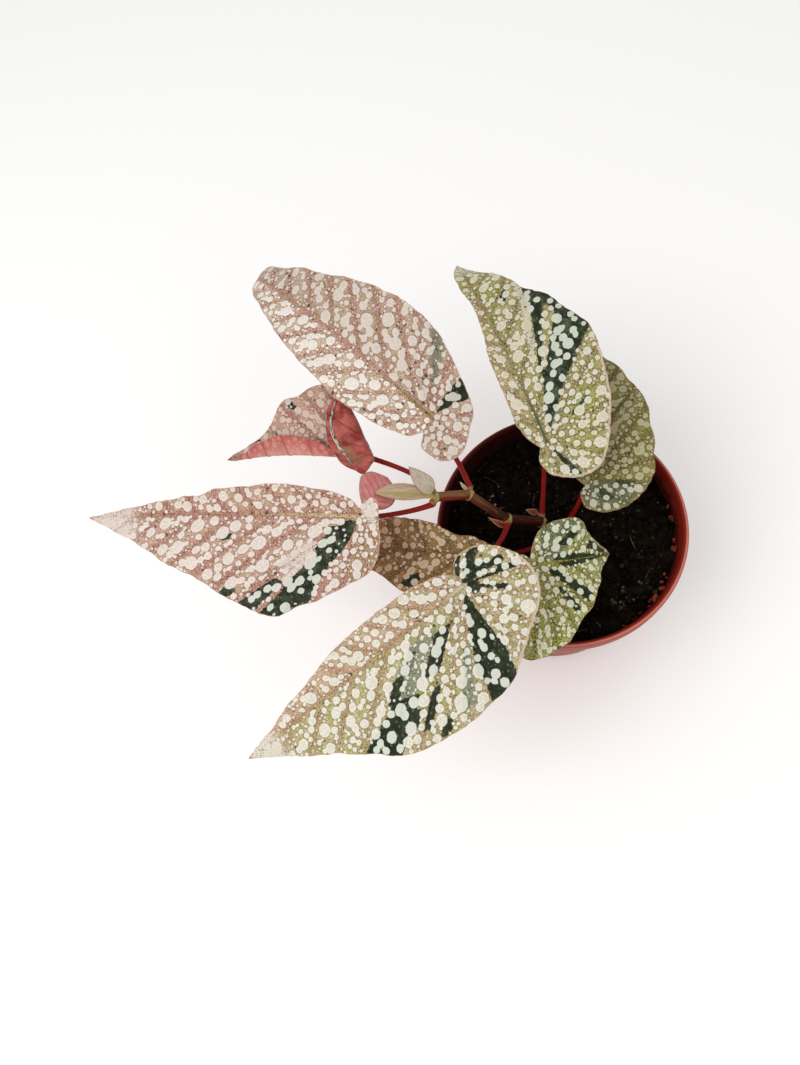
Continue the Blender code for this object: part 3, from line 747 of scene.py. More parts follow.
    def finish(self, colour, roughness, height=None, depth=0.0, **settings):
        """Set the shader and give the material. The relief is the height times the depth in millimetres.
        The settings are plain numbers on the shader's own sockets."""
        self.plug(self.shader.inputs["Base Color"], colour)
        self.plug(self.shader.inputs["Roughness"], roughness)
        if height is not None:
            inputs = {"Height": height, "Strength": 1.0, "Distance": depth * MM}
            self.plug(self.shader.inputs["Normal"], self.add("Bump", inputs).outputs[0])
        for word, value in settings.items():
            self.shader.inputs[word.replace("_", " ")].default_value = value
        return self.material


class Look:
    """How one leaf is coloured. base: the ground between veins, and out_base: the same on the out half.
    band and out_band: the ground beside a vein. lime: the colour of its greener clouds. rib: the midrib,
    over the given share of its length. heart: how far from the attachment the veins are drawn in the
    midrib's colour. spot: the spots. edge: the margin's line. The patches are described at
    patch_distance. Frost is the white bloom between the veins in frost patches and beyond the frost
    tip's share of the length. hem: the first and last vein cell, on the back half, whose margin turns
    down; a pale band along it there is painted sheen. placed_spots: for each listed spot its half, vein
    count, share of the way to the margin and radius. spot_sizes: for each size the smallest and largest
    radius, the throws on a square millimetre and the distance kept from veins."""

    spot_sizes = (
        (1.6, 2.5, 0.06, 0.6), (1.1, 1.6, 0.13, 0.4), (0.7, 1.1, 0.2, 0.25), (0.42, 0.65, 0.3, 0.1),
    )
    placed_spots = ()
    spot_gap = 0.22
    chain_from = 1.0
    chain = 0.28
    base = (204, 181, 156)
    out_base = None
    # the out half's tone: painted shade multiplied over the whole out half
    out_half_painted_shade = (255, 255, 255)
    band = (190, 147, 127)
    out_band = None
    band_width = 1.9
    stipple = (206, 188, 176)
    lime = (176, 168, 110)
    lime_share = 0.05
    rib = (150, 128, 76)
    rib_share = 0.3
    heart = 0.0
    spot = (243, 237, 230)
    spot_shade = (222, 212, 202)
    dark = (25, 34, 14)
    dark_light = (54, 64, 38)
    grey = (124, 134, 112)
    fleck = (56, 50, 30)
    fleck_share = 0.5
    fleck_size = 0.6
    blot_share = 0.12
    edge = (208, 166, 152)
    dark_patches = ()
    grey_patches = ()
    lime_patches = ()
    frost_patches = ()
    frost_tip = 0.82
    # the hem's pale band is painted sheen along a margin that turns down
    hem = None

    def __init__(self, **words):
        for word, value in words.items():
            setattr(self, word, value)


def blade_finish(name, look, offset):
    """The upper face. From the ground up: soft bands beside the veins, lime clouds, a fine stipple, the
    midrib, the frost, the dark and grey patches, dark flecks, small pale dots, the spots, and the
    margin's line."""
    n = Nodes(name)
    flat = n.flat(offset)
    spot, vein, rib, edge = (n.value(word) for word in ("spot", "vein", "rib", "edge"))
    cloud = n.noise(flat, 9.0, 2.0)
    mottle = n.noise(flat, 1.6, 3.0, 0.6)
    fine = n.noise(flat, 0.5, 2.0, 0.7)

    out_half = n.step(n.value("side"), 0.4, -0.4)
    near_vein = n.step(n.wobble(vein, mottle, 2.6), look.band_width * 2.0, -0.8)
    near_rib = n.step(n.wobble(rib, mottle, 2.6), look.band_width * 2.2, -0.6)
    band = n.step(n.wobble(n.most(near_vein, near_rib), cloud, 1.0), 0.0, 1.0)
    ground = n.mix(out_half, look.base, look.out_base or look.base)
    beside = n.mix(out_half, look.band, look.out_band or look.band)
    ground = n.mix(band, ground, beside)

    lime = n.plus(n.times(mottle, 0.5), n.times(cloud, 0.5))
    lime = n.times(n.step(lime, 0.6 - 0.2 * look.lime_share, 0.7 - 0.2 * look.lime_share), 0.8)
    lime = n.most(lime, n.times(n.step(n.wobble(n.value("lime"), mottle, 2.6), 0.6, -1.2), 0.85))
    ground = n.tint(ground, lime, n.minus(1.0, n.times(band, 0.6)), look.lime)
    _, random = n.cells(flat, 0.42)
    ground = n.tint(ground, n.step(random[0], 0.25, 1.0), 0.6, look.stipple, "MULTIPLY")
    ground = n.tint(ground, n.step(random[1], 0.55, 1.0), 0.42, look.spot_shade)

    rib_line = n.step(n.plus(rib, n.times(fine, 0.25)), 0.85, 0.4)
    ground = n.tint(ground, rib_line, n.value("rib_green"), look.rib)
    heart = n.step(n.value("heart"), look.heart + 2.0, look.heart * 0.4)
    vein_line = n.step(n.plus(vein, n.times(fine, 0.3)), 0.48, 0.22)
    ground = n.tint(ground, vein_line, n.times(heart, 0.7), look.rib)

    open_ground = n.step(n.wobble(vein, fine, 0.8), -0.1, 0.6)
    frost = n.step(n.wobble(n.value("frost"), mottle, 1.4), 0.1, 1.1)
    frost = n.times(frost, n.line(open_ground, 0.6, 0.4))
    ground = n.tint(ground, frost, 0.85, n.shades(fine, 0.35, 0.65, look.spot_shade, look.spot))

    torn = n.noise(flat, 1.1, 3.0, 0.7)
    film = n.step(n.wobble(n.value("grey"), torn, 2.4), 0.8, -1.0)
    ground = n.tint(ground, film, 0.8, look.grey)
    dark = n.step(n.wobble(n.value("dark"), torn, 2.16), 0.2, -0.16)
    shade = n.shades(n.noise(flat, 4.0, 3.0, 0.6), 0.4, 0.75, look.dark, look.dark_light)
    ground = n.mix(dark, ground, shade)

    size = n.line(band, 0.45, look.fleck_size)
    flecks = n.dots(flat, 0.85, 0.11, 0.17, look.fleck_share, 0.05, 0.05, size)
    blots = n.dots(n.warped(flat, 0.8, 1.2), 2.8, 0.2, 0.45, look.blot_share, 0.02, 0.07)
    ground = n.tint(ground, n.most(flecks, blots), 0.85, look.fleck)
    dots = n.dots(flat, 1.7, 0.12, 0.3, 0.62, 0.05, 0.08, n.line(n.step(rib, 0.6, 1.8), 0.8, 0.2))
    ground = n.tint(ground, n.times(dots, 0.85), n.line(dark, -0.8, 1.0), n.mix(0.3, look.spot, ground))

    spot = n.wobble(spot, n.noise(flat, 1.2), 0.65)
    bare = n.minus(1.0, n.times(frost, 0.85))
    ground = n.tint(ground, n.times(n.step(spot, 0.38, 0.12), 0.4), bare, (170, 138, 112), "MULTIPLY")
    inside = n.step(spot, 0.1, -0.14)
    silver = n.shades(n.noise(flat, 0.8, 3.0, 0.7), 0.36, 0.68, look.spot_shade, look.spot)
    silver = n.tint(silver, n.step(spot, -0.7, -0.15), 0.5, look.spot)
    seam = n.step(n.wobble(n.value("seam"), fine, 0.1), 0.16, 0.26)
    silver = n.tint(silver, n.times(seam, 0.4), bare, look.base)
    silver = n.tint(silver, frost, 0.7, look.spot_shade)
    silver = n.tint(silver, n.most(dark, n.times(film, 0.7)), 0.6, (202, 214, 200))
    face = n.tint(ground, inside, 0.96, silver)

    # painted sheen: a pale band along the margin in the hem's vein cells
    hem = n.step(n.wobble(n.value("hem"), mottle, 0.8), 1.1, 0.7)
    face = n.tint(face, hem, 0.7, n.shades(fine, 0.35, 0.65, (196, 172, 150), (226, 210, 192)))
    # painted shade: the whole out half is darkened by its tone
    face = n.mix(out_half, face, look.out_half_painted_shade, "MULTIPLY")
    line = n.step(n.plus(edge, n.times(mottle, 0.35)), 0.5, 0.25)
    face = n.tint(face, line, 0.6, look.edge)
    height = n.plus(n.times(inside, 0.35), n.times(n.noise(flat, 0.35), 0.6))
    height = n.plus(height, n.times(n.step(vein, 0.0, 0.7), 0.6))
    return n.finish(face, n.line(fine, 0.2, 0.38), height, 0.14, Specular_IOR_Level=0.16)


def underside_finish(name, look, offset):
    """The lower face: pink to wine red, deeper on the back half, with darker veins in relief and a fine
    net between them."""
    n = Nodes(name)
    flat = n.flat(offset)
    vein, rib, spot, edge = (n.value(word) for word in ("vein", "rib", "spot", "edge"))
    cloud = n.noise(flat, 5.0, 3.0)
    back_half = n.step(n.value("side"), -0.3, 0.3)
    pale = n.mix(n.step(n.wobble(edge, cloud, 6.0), look.under_reach, 0.0), look.under_pale, look.under)
    deep = n.shades(cloud, 0.35, 0.65, look.under, look.under_deep)
    ground = n.mix(n.most(back_half, n.times(n.step(cloud, 0.45, 0.7), 0.3)), pale, deep)
    tan = n.step(n.wobble(n.value("lime"), cloud, 3.0), 0.8, -1.2)
    ground = n.tint(ground, n.times(tan, back_half), 0.7, look.under_tan)
    light = n.times(n.step(spot, 0.3, -0.7), n.line(back_half, -0.75, 1.0))
    ground = n.tint(ground, light, look.under_spot, look.under_light)
    net = n.net(flat, 1.7)
    ground = n.tint(ground, n.step(net, 0.25, 0.02), 0.14, look.under_vein)
    near = n.math("MINIMUM", vein, n.plus(rib, -0.5))
    thread = n.step(n.plus(near, n.times(n.noise(flat, 1.5), 0.3)), 0.75, 0.3)
    ground = n.tint(ground, thread, 0.28, look.under_vein)
    height = n.plus(thread, n.times(n.step(net, 0.3, 0.0), 0.3))
    height = n.plus(height, n.times(n.noise(flat, 0.5), 0.3))
    return n.finish(ground, 0.5, height, 0.25, Specular_IOR_Level=0.2)


def margin_finish(name, look):
    """The cut edge of the blade: a translucent pink line."""
    n = Nodes(name)
    place = n.space()
    colour = n.mix(n.noise(place, 2.0, 3.0), look.edge, (214, 170, 158))
    return n.finish(colour, 0.5, n.noise(place, 0.6), 0.1)


# The eight leaves, drawn as Leaf says
LEAVES = {
    "leaf_a": Leaf((-50, 24, 150), (-127, 104, 140), (0.0, -0.3, 1.0), 13.0, sinus=(-2, 6), droop=5.0,
        waves=11,
        out=((-7, 11), (-14, 10), (-17, 3), (-14, -6), (-8, -14), (4, -20), (17, -25), (31, -26), (47, -24),
             (58, -20), (68, -17.5), (90, -10), (104, -6)),
        back=((107, 4), (90, 9), (67, 14), (47, 17), (30, 18), (12, 15), (2, 11))),
    "leaf_b": Leaf((-75, 13.5, 140), (-136.5, 23, 124), (0.0, -0.35, 1.0), 7.0, sinus=(-3, 1), sway=-2.0,
        cup=0.0, waves=6, fold=(1.2, 2.6), flap=(-1.13, 2.0, 2.9),
        out=((1, 2), (8, 3), (14, 7), (25, 10), (42, 8), (55, 3)),
        back=((53, -4), (40, -10), (34, -20), (28, -22), (22, -25), (18, -26), (12, -26), (1, -24),
              (-6, -19), (-11, -13), (-14, -5), (-12, -1), (-11, 2))),
    "leaf_c": Leaf((-76, -15, 150), (-187, -5, 136), (0.1, -0.2, 1.0), 7.0, sinus=(0, -3), cup=0.12,
        waves=11,
        out=((3, -6), (8, -8), (17, -10), (31, -11), (53, -9), (72, -6), (93, -3)),
        back=((93, 8), (71, 19), (52, 27), (43, 32), (30, 37), (26, 37), (17, 33), (5, 27), (-6, 18),
              (-8, 9), (-7, 1), (-6, -6), (-3, -7), (-1, -6))),
    "leaf_d": Leaf((-40, -40, 142), (-122, -96, 116), (0.1, -0.3, 1.0), 8.0, sinus=(0, -5), waves=11,
        out=((4, -8), (14, -11), (35, -12), (55, -10), (73, -7), (90, -3)),
        back=((85, 10), (67, 21), (52, 32), (42, 36), (33, 37), (20, 38), (9, 37), (0, 33), (-10, 26),
              (-20, 18), (-23, 11), (-22, 3), (-18, -4), (-11, -9), (-4, -9))),
    "leaf_e": Leaf((-28, -20, 114), (-93, -13, 111), (0.1, -0.2, 1.0), 5.0, sinus=(-2, -3), cup=0.08,
        out=((4, -5), (10, -7), (18, -8), (25, -11), (38, -13), (46, -12), (56, -8)),
        back=((57, 5), (47, 9), (36, 16), (24, 19), (8, 18), (-4, 12), (-8, 3), (-6, -3))),
    "leaf_f": Leaf((-12, -27, 122), (17, -17, 102), (0.1, -0.3, 1.0), 4.0, sinus=(-3, 3), cup=0.08, waves=7,
        out=((-1, 9), (5, 14), (16, 16), (25, 10), (31, 4)),
        back=((33, -3), (24, -12), (12, -25), (2, -31), (-6, -34), (-13, -33), (-16, -26), (-15, -15),
              (-12, -4), (-8, 3), (-5, 5))),
    "leaf_g": Leaf((-7, 17, 138), (-39, 107, 130), (0.05, -0.25, 1.0), 9.0, sinus=(-1, 3),
        out=((3, 6), (10, 8), (24, 8), (39, 7), (57, 4), (77, 4), (90, 3)),
        back=((80, -10), (60, -21), (49, -27), (36, -32), (24, -32), (11, -30), (2, -27), (-9, -21),
              (-16, -15), (-18, -8), (-17, -2), (-13, 3), (-6, 5))),
    "leaf_h": Leaf((11, 9, 120), (9, 78, 112), (0.1, -0.25, 1.0), 6.0, sinus=(-3, 3), waves=8,
        out=((0, 7), (7, 10), (23, 14), (43, 13), (61, 6)),
        back=((62, -9), (53, -13), (43, -19), (36, -22), (26, -24), (9, -25), (-1, -23), (-9, -17),
              (-14, -6), (-12, 3), (-6, 5))),
}

# The leaves' colours, as Look says: what several share, and each leaf's own
PINK_UNDER = {
    "under_pale": (206, 146, 134), "under": (182, 94, 86), "under_deep": (138, 48, 40),
    "under_vein": (134, 40, 36), "under_tan": (146, 104, 76), "under_light": (222, 176, 164),
    "under_spot": 0.4, "under_reach": 8.0,
}
OLIVE_UNDER = {
    "under_pale": (156, 98, 76), "under": (142, 84, 64), "under_deep": (118, 58, 44),
    "under_vein": (104, 34, 28), "under_tan": (120, 96, 60), "under_light": (176, 128, 104),
    "under_spot": 0.3, "under_reach": 6.0,
}
OLIVE = {
    "base": (148, 144, 84), "band": (112, 104, 60), "lime": (150, 152, 70), "lime_share": 0.4,
    "stipple": (176, 172, 120), "spot": (212, 206, 184), "spot_shade": (180, 172, 134),
    "edge": (184, 138, 112), "rib": (132, 126, 70),
    "spot_sizes": ((1.3, 2.0, 0.05, 0.7), (0.95, 1.3, 0.12, 0.5), (0.6, 0.9, 0.18, 0.3),
                   (0.4, 0.6, 0.26, 0.1)),
}

LOOKS = {
    "leaf_a": Look(
        # the out half's tone is painted shade
        **PINK_UNDER, rib=(140, 130, 66), rib_share=0.22, frost_tip=0.95, out_half_painted_shade=(234, 229, 225),
        blot_share=0.3, chain=0.45, fleck_share=0.6,
        dark_patches=((-1, 4.05, 4.95, 0.3, 1.0, 4.1, 4.85), (-1, 4.2, 4.6, 0.12, 0.4)),
        placed_spots=((-1, 4.5, 0.66, 1.5), (-1, 4.3, 0.74, 1.2), (-1, 4.66, 0.55, 1.1),
                      (-1, 4.75, 0.88, 0.9)),
        grey_patches=((-1, 5.9, 6.9, 0.5, 1.0), (-1, 6.2, 6.8, 0.15, 0.6)),
    ),
    "leaf_b": Look(
        **PINK_UNDER, base=(196, 157, 141), band=(172, 128, 113), lime_share=0.0, spot=(216, 196, 184),
        spot_shade=(200, 174, 160), edge=(186, 124, 110), frost_tip=2.0,
        spot_sizes=((1.1, 1.8, 0.16, 0.3), (0.7, 1.1, 0.3, 0.2), (0.42, 0.6, 0.4, 0.1)),
        dark_patches=((1, 9.1, 9.4, 0.85, 0.96), (1, 7.1, 7.35, 0.8, 0.95)),
        lime_patches=((1, 1.2, 1.8, 0.4, 0.7), (1, 1.2, 2.4, 0.55, 0.8)),
    ),
    "leaf_c": Look(
        **PINK_UNDER, base=(194, 160, 140), band=(178, 128, 110), lime_share=0.0, rib=(192, 178, 132),
        spot=(236, 228, 221), spot_shade=(214, 197, 186), chain=0.4, fleck_share=0.65, rib_share=0.42,
        # the out half's tone is painted shade
        heart=6.0, frost_tip=0.74, out_half_painted_shade=(252, 250, 246), dark_light=(76, 86, 62),
        dark_patches=(
            (1, 5.5, 8.6, 0.04, 0.14), (1, 5.0, 8.8, 0.12, 0.38, 5.3, 8.3),
            (1, 5.3, 7.9, 0.36, 0.56, 5.8, 7.6), (1, 5.8, 7.6, 0.54, 0.74, 5.8, 7.7),
            (1, 5.8, 7.5, 0.72, 1.0, 5.7, 7.5), (1, 7.8, 8.3, 0.7, 1.0, 7.7, 8.4), (1, 8.8, 9.2, 0.9, 1.0),
            (1, 10.8, 11.1, 0.34, 0.46),
        ),
        lime_patches=((1, 1.3, 4.4, 0.25, 1.0),), lime=(158, 138, 84),
        placed_spots=(
            (1, 7.9, 0.25, 1.4), (1, 8.2, 0.31, 1.5), (1, 7.9, 0.44, 1.7), (1, 7.5, 0.49, 1.9),
            (1, 7.2, 0.43, 1.0), (1, 7.6, 0.7, 1.6), (1, 7.2, 0.73, 1.5), (1, 6.8, 0.9, 1.5),
            (1, 6.6, 0.95, 1.1), (1, 8.05, 0.8, 1.3), (1, 8.1, 0.87, 1.3),
        ),
        frost_patches=((1, 0.3, 1.9, 0.1, 0.9), (1, 8.0, 8.8, 0.3, 0.62), (1, 7.5, 8.1, 0.45, 0.7)),
    ),
    "leaf_d": Look(
        **PINK_UNDER, base=(184, 176, 126), out_base=(202, 172, 140), band=(174, 150, 108),
        out_band=(190, 150, 124), lime=(150, 156, 62), rib=(196, 186, 156), lime_share=0.5,
        spot=(236, 234, 224), spot_shade=(212, 203, 184), chain=0.28, rib_share=0.1, heart=9.0,
        frost_tip=0.8,
        dark_patches=(
            (1, 7.5, 9.4, 0.08, 0.34, 7.3, 9.2), (1, 7.3, 9.1, 0.3, 0.75, 7.0, 9.0),
            (1, 7.0, 8.7, 0.72, 1.0, 7.3, 8.6), (1, 11.5, 12.0, 0.2, 0.5), (1, 11.25, 11.6, 0.6, 0.88),
            (1, 11.8, 12.15, 0.7, 0.84), (1, 12.7, 13.05, 0.38, 0.6), (1, 12.0, 12.95, 0.58, 0.76),
            (1, 12.1, 13.05, 0.7, 1.0, 12.15, 13.5), (1, 10.3, 10.8, 0.86, 0.98),
            (1, 1.1, 1.6, 0.05, 0.95), (1, 1.5, 2.4, 0.05, 0.6), (1, 2.4, 2.8, 0.05, 0.85),
            (1, 3.1, 3.4, 0.1, 0.85), (1, 3.3, 5.9, 0.06, 0.22), (1, 4.1, 4.5, 0.1, 0.6),
            (1, 0.4, 0.85, 0.1, 0.95), (1, 2.9, 3.3, 0.6, 0.72),
        ),
        grey_patches=((1, 9.2, 9.9, 0.45, 0.9), (1, 11.9, 12.8, 0.16, 0.34),
                      (1, 11.9, 13.0, 0.28, 0.62, 12.2, 13.0), (1, 7.7, 8.6, 0.8, 1.0)),
        lime_patches=((1, 10.9, 11.5, 0.14, 0.8), (1, 9.5, 9.8, 0.4, 0.9), (1, 11.5, 12.3, 0.5, 0.68),
                      (1, 11.85, 12.05, 0.7, 0.97), (1, 10.1, 10.8, 0.6, 1.0)),
        placed_spots=(
            (1, 8.9, 0.26, 1.0), (1, 8.85, 0.31, 1.3), (1, 8.4, 0.51, 1.0), (1, 8.3, 0.56, 1.3),
            (1, 7.85, 0.74, 0.9), (1, 8.6, 0.82, 1.0), (1, 12.6, 0.65, 1.9), (1, 12.4, 0.71, 1.5),
            (1, 12.7, 0.85, 1.8), (1, 13.0, 0.9, 1.3), (1, 11.75, 0.29, 1.4), (1, 11.8, 0.35, 1.8),
        ),
        hem=(3.0, 7.2),
    ),
    "leaf_e": Look(**OLIVE_UNDER, **{
        **OLIVE, "base": (160, 131, 80), "band": (130, 105, 60), "lime": (138, 126, 60), "lime_share": 0.1,
        "stipple": (190, 168, 130), "spot": (226, 208, 178), "spot_shade": (196, 176, 142),
        "edge": (160, 84, 68), "rib": (110, 82, 48), "fleck": (56, 46, 22), "frost_tip": 2.0,
        "spot_sizes": ((1.2, 1.7, 0.04, 0.6), (0.8, 1.2, 0.12, 0.4), (0.45, 0.75, 0.3, 0.1)),
        "dark_patches": ((1, 5.7, 6.1, 0.6, 0.9),),
    }),
    "leaf_f": Look(**OLIVE_UNDER, **{
        **OLIVE, "base": (170, 172, 88), "band": (144, 138, 64), "rib": (148, 144, 72), "rib_share": 0.35,
        "lime": (150, 160, 44), "spot": (236, 235, 212), "spot_shade": (206, 203, 164),
        "stipple": (150, 154, 84), "fleck": (62, 66, 28), "fleck_share": 0.85, "fleck_size": 0.9,
        "blot_share": 0.16, "heart": 5.0, "frost_tip": 2.0, "grey": (98, 110, 84), "chain": 0.4,
        "spot_sizes": ((1.05, 1.5, 0.08, 0.4), (0.7, 1.0, 0.2, 0.2), (0.42, 0.65, 0.3, 0.1)),
        "dark_patches": (
            (1, 7.6, 8.05, 0.14, 0.93), (1, 6.85, 7.2, 0.4, 0.86), (-1, 3.05, 3.8, 0.05, 0.24),
            (-1, 3.4, 5.0, 0.0, 0.24), (1, 8.3, 10.0, 0.0, 0.2), (-1, 3.75, 4.7, 0.45, 0.85),
            (-1, 2.75, 3.1, 0.42, 0.75),
        ),
        "grey_patches": ((-1, 1.1, 3.15, 0.12, 1.0),),
    }),
    "leaf_g": Look(**OLIVE_UNDER, **{
        **OLIVE, "base": (172, 163, 108), "out_base": (192, 172, 126), "band": (142, 131, 80),
        "out_band": (160, 142, 100), "lime": (156, 162, 66), "rib": (86, 92, 66), "fleck_size": 0.8,
        "dark": (32, 42, 24), "dark_light": (84, 96, 72), "rib_share": 0.3, "lime_share": 0.5,
        "spot": (228, 225, 210), "spot_shade": (200, 192, 162), "chain": 0.3, "stipple": (186, 176, 130),
        "edge": (196, 156, 136), "frost_tip": 0.86,
        "spot_sizes": ((1.4, 2.2, 0.07, 0.5), (1.0, 1.4, 0.16, 0.35), (0.6, 0.95, 0.2, 0.2),
                       (0.4, 0.6, 0.2, 0.1)),
        "dark_patches": (
            (1, 8.7, 9.15, 0.1, 0.36, 8.65, 9.8), (1, 8.7, 9.6, 0.32, 0.9, 8.4, 9.95),
            (1, 9.7, 9.85, 0.28, 0.92, 10.6, 11.45), (1, 8.35, 11.45, 0.88, 1.0, 8.35, 11.7),
            (1, 6.1, 6.4, 0.4, 0.7), (1, 2.0, 2.4, 0.22, 0.95), (1, 12.1, 12.4, 0.5, 0.72),
        ),
        "grey_patches": ((1, 7.6, 8.4, 0.12, 0.3),),
        "frost_patches": ((1, 10.0, 10.5, 0.3, 1.0, 11.6, 12.2),),
        "lime_patches": ((1, 3.0, 7.2, 0.3, 0.8), (1, 12.3, 14.2, 0.1, 0.8), (-1, 7.0, 8.6, 0.4, 1.0)),
        "placed_spots": (
            (1, 9.3, 0.42, 1.3), (1, 9.35, 0.49, 1.6), (1, 9.15, 0.54, 1.2), (1, 9.5, 0.62, 1.6),
            (1, 9.6, 0.75, 1.5), (1, 9.45, 0.8, 1.3), (1, 9.0, 0.86, 1.4), (1, 8.85, 0.83, 1.1),
        ),
        "hem": (1.0, 7.6),
    }),
    "leaf_h": Look(**OLIVE_UNDER, **{
        **OLIVE, "base": (142, 134, 74), "band": (116, 108, 54), "lime": (138, 138, 50), "fleck_size": 0.9,
        "frost_tip": 2.0, "grey": (98, 100, 76), "dark": (56, 62, 36), "dark_light": (76, 84, 58),
        "spot": (196, 190, 158), "spot_shade": (164, 156, 112), "stipple": (180, 172, 124),
        "edge": (150, 100, 80),
        "grey_patches": ((1, 0.3, 3.5, 0.15, 0.95),),
        "dark_patches": ((1, 1.7, 2.3, 0.3, 0.7), (1, 3.2, 3.6, 0.4, 0.7)),
    }),
}

# The rolled edge on leaf B: vein count, share of the way to the margin, height over the lobe
CURL_PLACES = ((4.15, 0.95, 0.6), (3.2, 0.9, 0.7), (2.39, 0.84, 0.7), (1.38, 0.84, 0.7))

# The rolled back lobe of leaf C, the top sheath, the bud, and the scraps at the cane's nodes
LOBE_ROOT = (-1.5, -4.0)
LOBE_DROP = 1.4
LOBE_TIP = (-68.2, 7.2, 133.5)
SHEATH = Leaf((-51.4, -1.4, 136.0), (-58.8, 6.6, 144), (0.0, -0.4, 1.0), 0.8, sinus=(-0.6, 0), waves=0,
              cup=-0.25, out=((1, 1.8), (6, 2.6), (10.8, 1.4)), back=((9.6, -2.5), (4, -4.2), (0.8, -2.8)))
BUD_TIP = (-70.7, -4.3, 146.0)
BUD_LIFT = 0.8
BUD_BEND = (-5.2, 2.4, 2.6)
BUD_LENGTH_SHARES = (0.0, 0.12, 0.3, 0.5, 0.66, 0.8, 0.91, 1.0)
BUD_RADII = (1.0, 1.35, 2.1, 3.2, 3.5, 3.0, 2.0, 0.5)
BUD_FLATNESS = 0.62
BUD_SIDES = 56
BUD_KEEL = 4.0
SCRAP_FOOT = 0.28
DRY_COLOURS = ((122, 54, 28), (84, 34, 17), (176, 122, 84))
FRESH_COLOURS = ((176, 160, 116), (150, 132, 88), (196, 178, 140))
SCRAPS = {
    "dry_sheath_1": (
        (-11.0, 1.4, 104.5), (-15.0, 1.8, 107.0), 1.2, "dry_sheath", "dry_sheath_1", DRY_COLOURS,
    ),
    "dry_sheath_2": (
        (-25.3, -7.1, 115.0), (-30.3, -5.3, 118.6), 1.2, "dry_sheath", "dry_sheath_2", DRY_COLOURS,
    ),
    "stipule": ((-38.3, 3.9, 126.2), (-40.4, 5.9, 128.9), 0.6, "sheath", "", FRESH_COLOURS),
}


def add_blade(name, leaf, sheet, lift, full, thin, finishes, node, values):
    """A closed blade: the upper face on the sheet's grid, the lower face one thickness below it along
    the surface's normal, and a rim between them. The blade thins towards its margin, and underneath
    the midrib and veins stand out as bell curves of their distance."""
    top = blade_points(leaf, sheet.u, sheet.v, lift)
    inland = np.clip(sheet.edge / THIN_EDGE, 0.0, 1.0)
    ridge = RIB_RIDGE[0] * bell(sheet.rib, RIB_RIDGE[1]) + VEIN_RIDGE[0] * bell(sheet.vein, VEIN_RIDGE[1])
    thick = thin + (full - thin) * inland + ridge * inland
    bottom = top - thick[..., None] * blade_normal(leaf, sheet.u, sheet.v)
    count = sheet.u.size
    index = np.arange(count).reshape(sheet.u.shape)
    upper = grid_faces(index)
    rims = [grid_faces(np.stack((index[:, row], index[:, row] + count), axis=1)) for row in (0, -1)]
    if sheet.faces_up:
        rims[1] = rims[1][:, ::-1]
    else:
        upper, rims[0] = upper[:, ::-1], rims[0][:, ::-1]
    flat = np.tile(np.stack((sheet.u.ravel(), sheet.v.ravel()), axis=1), (2, 1))
    lower = split_short(upper[:, ::-1] + count, flat)
    upper = split_short(upper, flat)
    keys = np.column_stack((flat, np.repeat((0.0, 1.0), count)))
    keep, groups = welded(keys, (upper, lower, np.vstack(rims)))
    points = np.vstack((top.reshape(-1, 3), bottom.reshape(-1, 3)))
    values = {word: np.tile(value.ravel(), 2)[keep] for word, value in values.items()}
    add_piece(name, points[keep], groups, finishes, node, flat[keep] / SHEET + 0.5, values)


def add_scale(name, leaf, sheet, lift, full, thin, finish, node):
    """A small blade with one finish all over."""
    values = {"vein": sheet.vein, "rib": sheet.rib, "edge": sheet.edge, "side": sheet.side}
    add_blade(name, leaf, sheet, lift, full, thin, (finish, finish, finish), node, values)


def make_leaf(name, order):
    """One of the eight leaves, with its spots and patches as distances at every point. Gives its grid."""
    leaf, look = LEAVES[name], LOOKS[name]
    sheet = Sheet(leaf, ragged=RAGGED, seed=LEAF_SEED + order)
    spots = throw_spots(sheet, look, np.random.default_rng(SPOT_SEED + order))
    reach = sheet.u / leaf.length
    frost = np.clip((reach - look.frost_tip) * 11.0, 0.0, 1.3)
    frost = np.maximum(frost, np.clip(0.2 - patch_distance(sheet, look.frost_patches) / 1.5, 0.0, 1.0))
    hem = np.full(sheet.u.shape, FAR)
    if look.hem:
        there = (sheet.side > 0) & (sheet.number > look.hem[0]) & (sheet.number < look.hem[1])
        hem = np.where(there, sheet.edge, hem)
    spot, seam = spot_distance(sheet, spots)
    values = {
        "spot": spot, "seam": seam, "vein": sheet.vein, "rib": sheet.rib, "side": sheet.side, "frost": frost,
        "edge": sheet.edge, "heart": np.hypot(sheet.u, sheet.v), "hem": hem,
        "rib_green": np.clip(1.4 * (1.0 - reach / look.rib_share), 0.0, 1.0),
        "dark": patch_distance(sheet, look.dark_patches), "grey": patch_distance(sheet, look.grey_patches),
        "lime": patch_distance(sheet, look.lime_patches),
    }
    offset = LEAF_OFFSET * order
    finishes = (
        blade_finish(name + "_face", look, offset), underside_finish(name + "_underside", look, offset),
        margin_finish(name + "_margin", look),
    )
    lift = blade_lift(leaf, sheet, LEAF_SEED + order)
    add_blade(name + "_blade", leaf, sheet, lift, BLADE, BLADE_EDGE, finishes, name, values)
    return sheet


def carried(path, radii, sides, reference, flatten=1.0):
    """Rings round a path. Each point is the path's place plus its radius times the cosine and sine of
    its turn, along two directions square to the path; the second is the one nearest the reference."""
    heading = unit(np.gradient(path, axis=0))
    reference = np.array(reference, float)
    thin = unit(reference - (heading @ reference)[:, None] * heading)
    broad = np.cross(heading, thin)
    turn = turns(sides)[None, :, None]
    around = np.cos(turn) * broad[:, None] + flatten * np.sin(turn) * thin[:, None]
    radii = np.broadcast_to(np.reshape(radii, (len(path), -1)), (len(path), sides))
    return path[:, None] + radii[..., None] * around


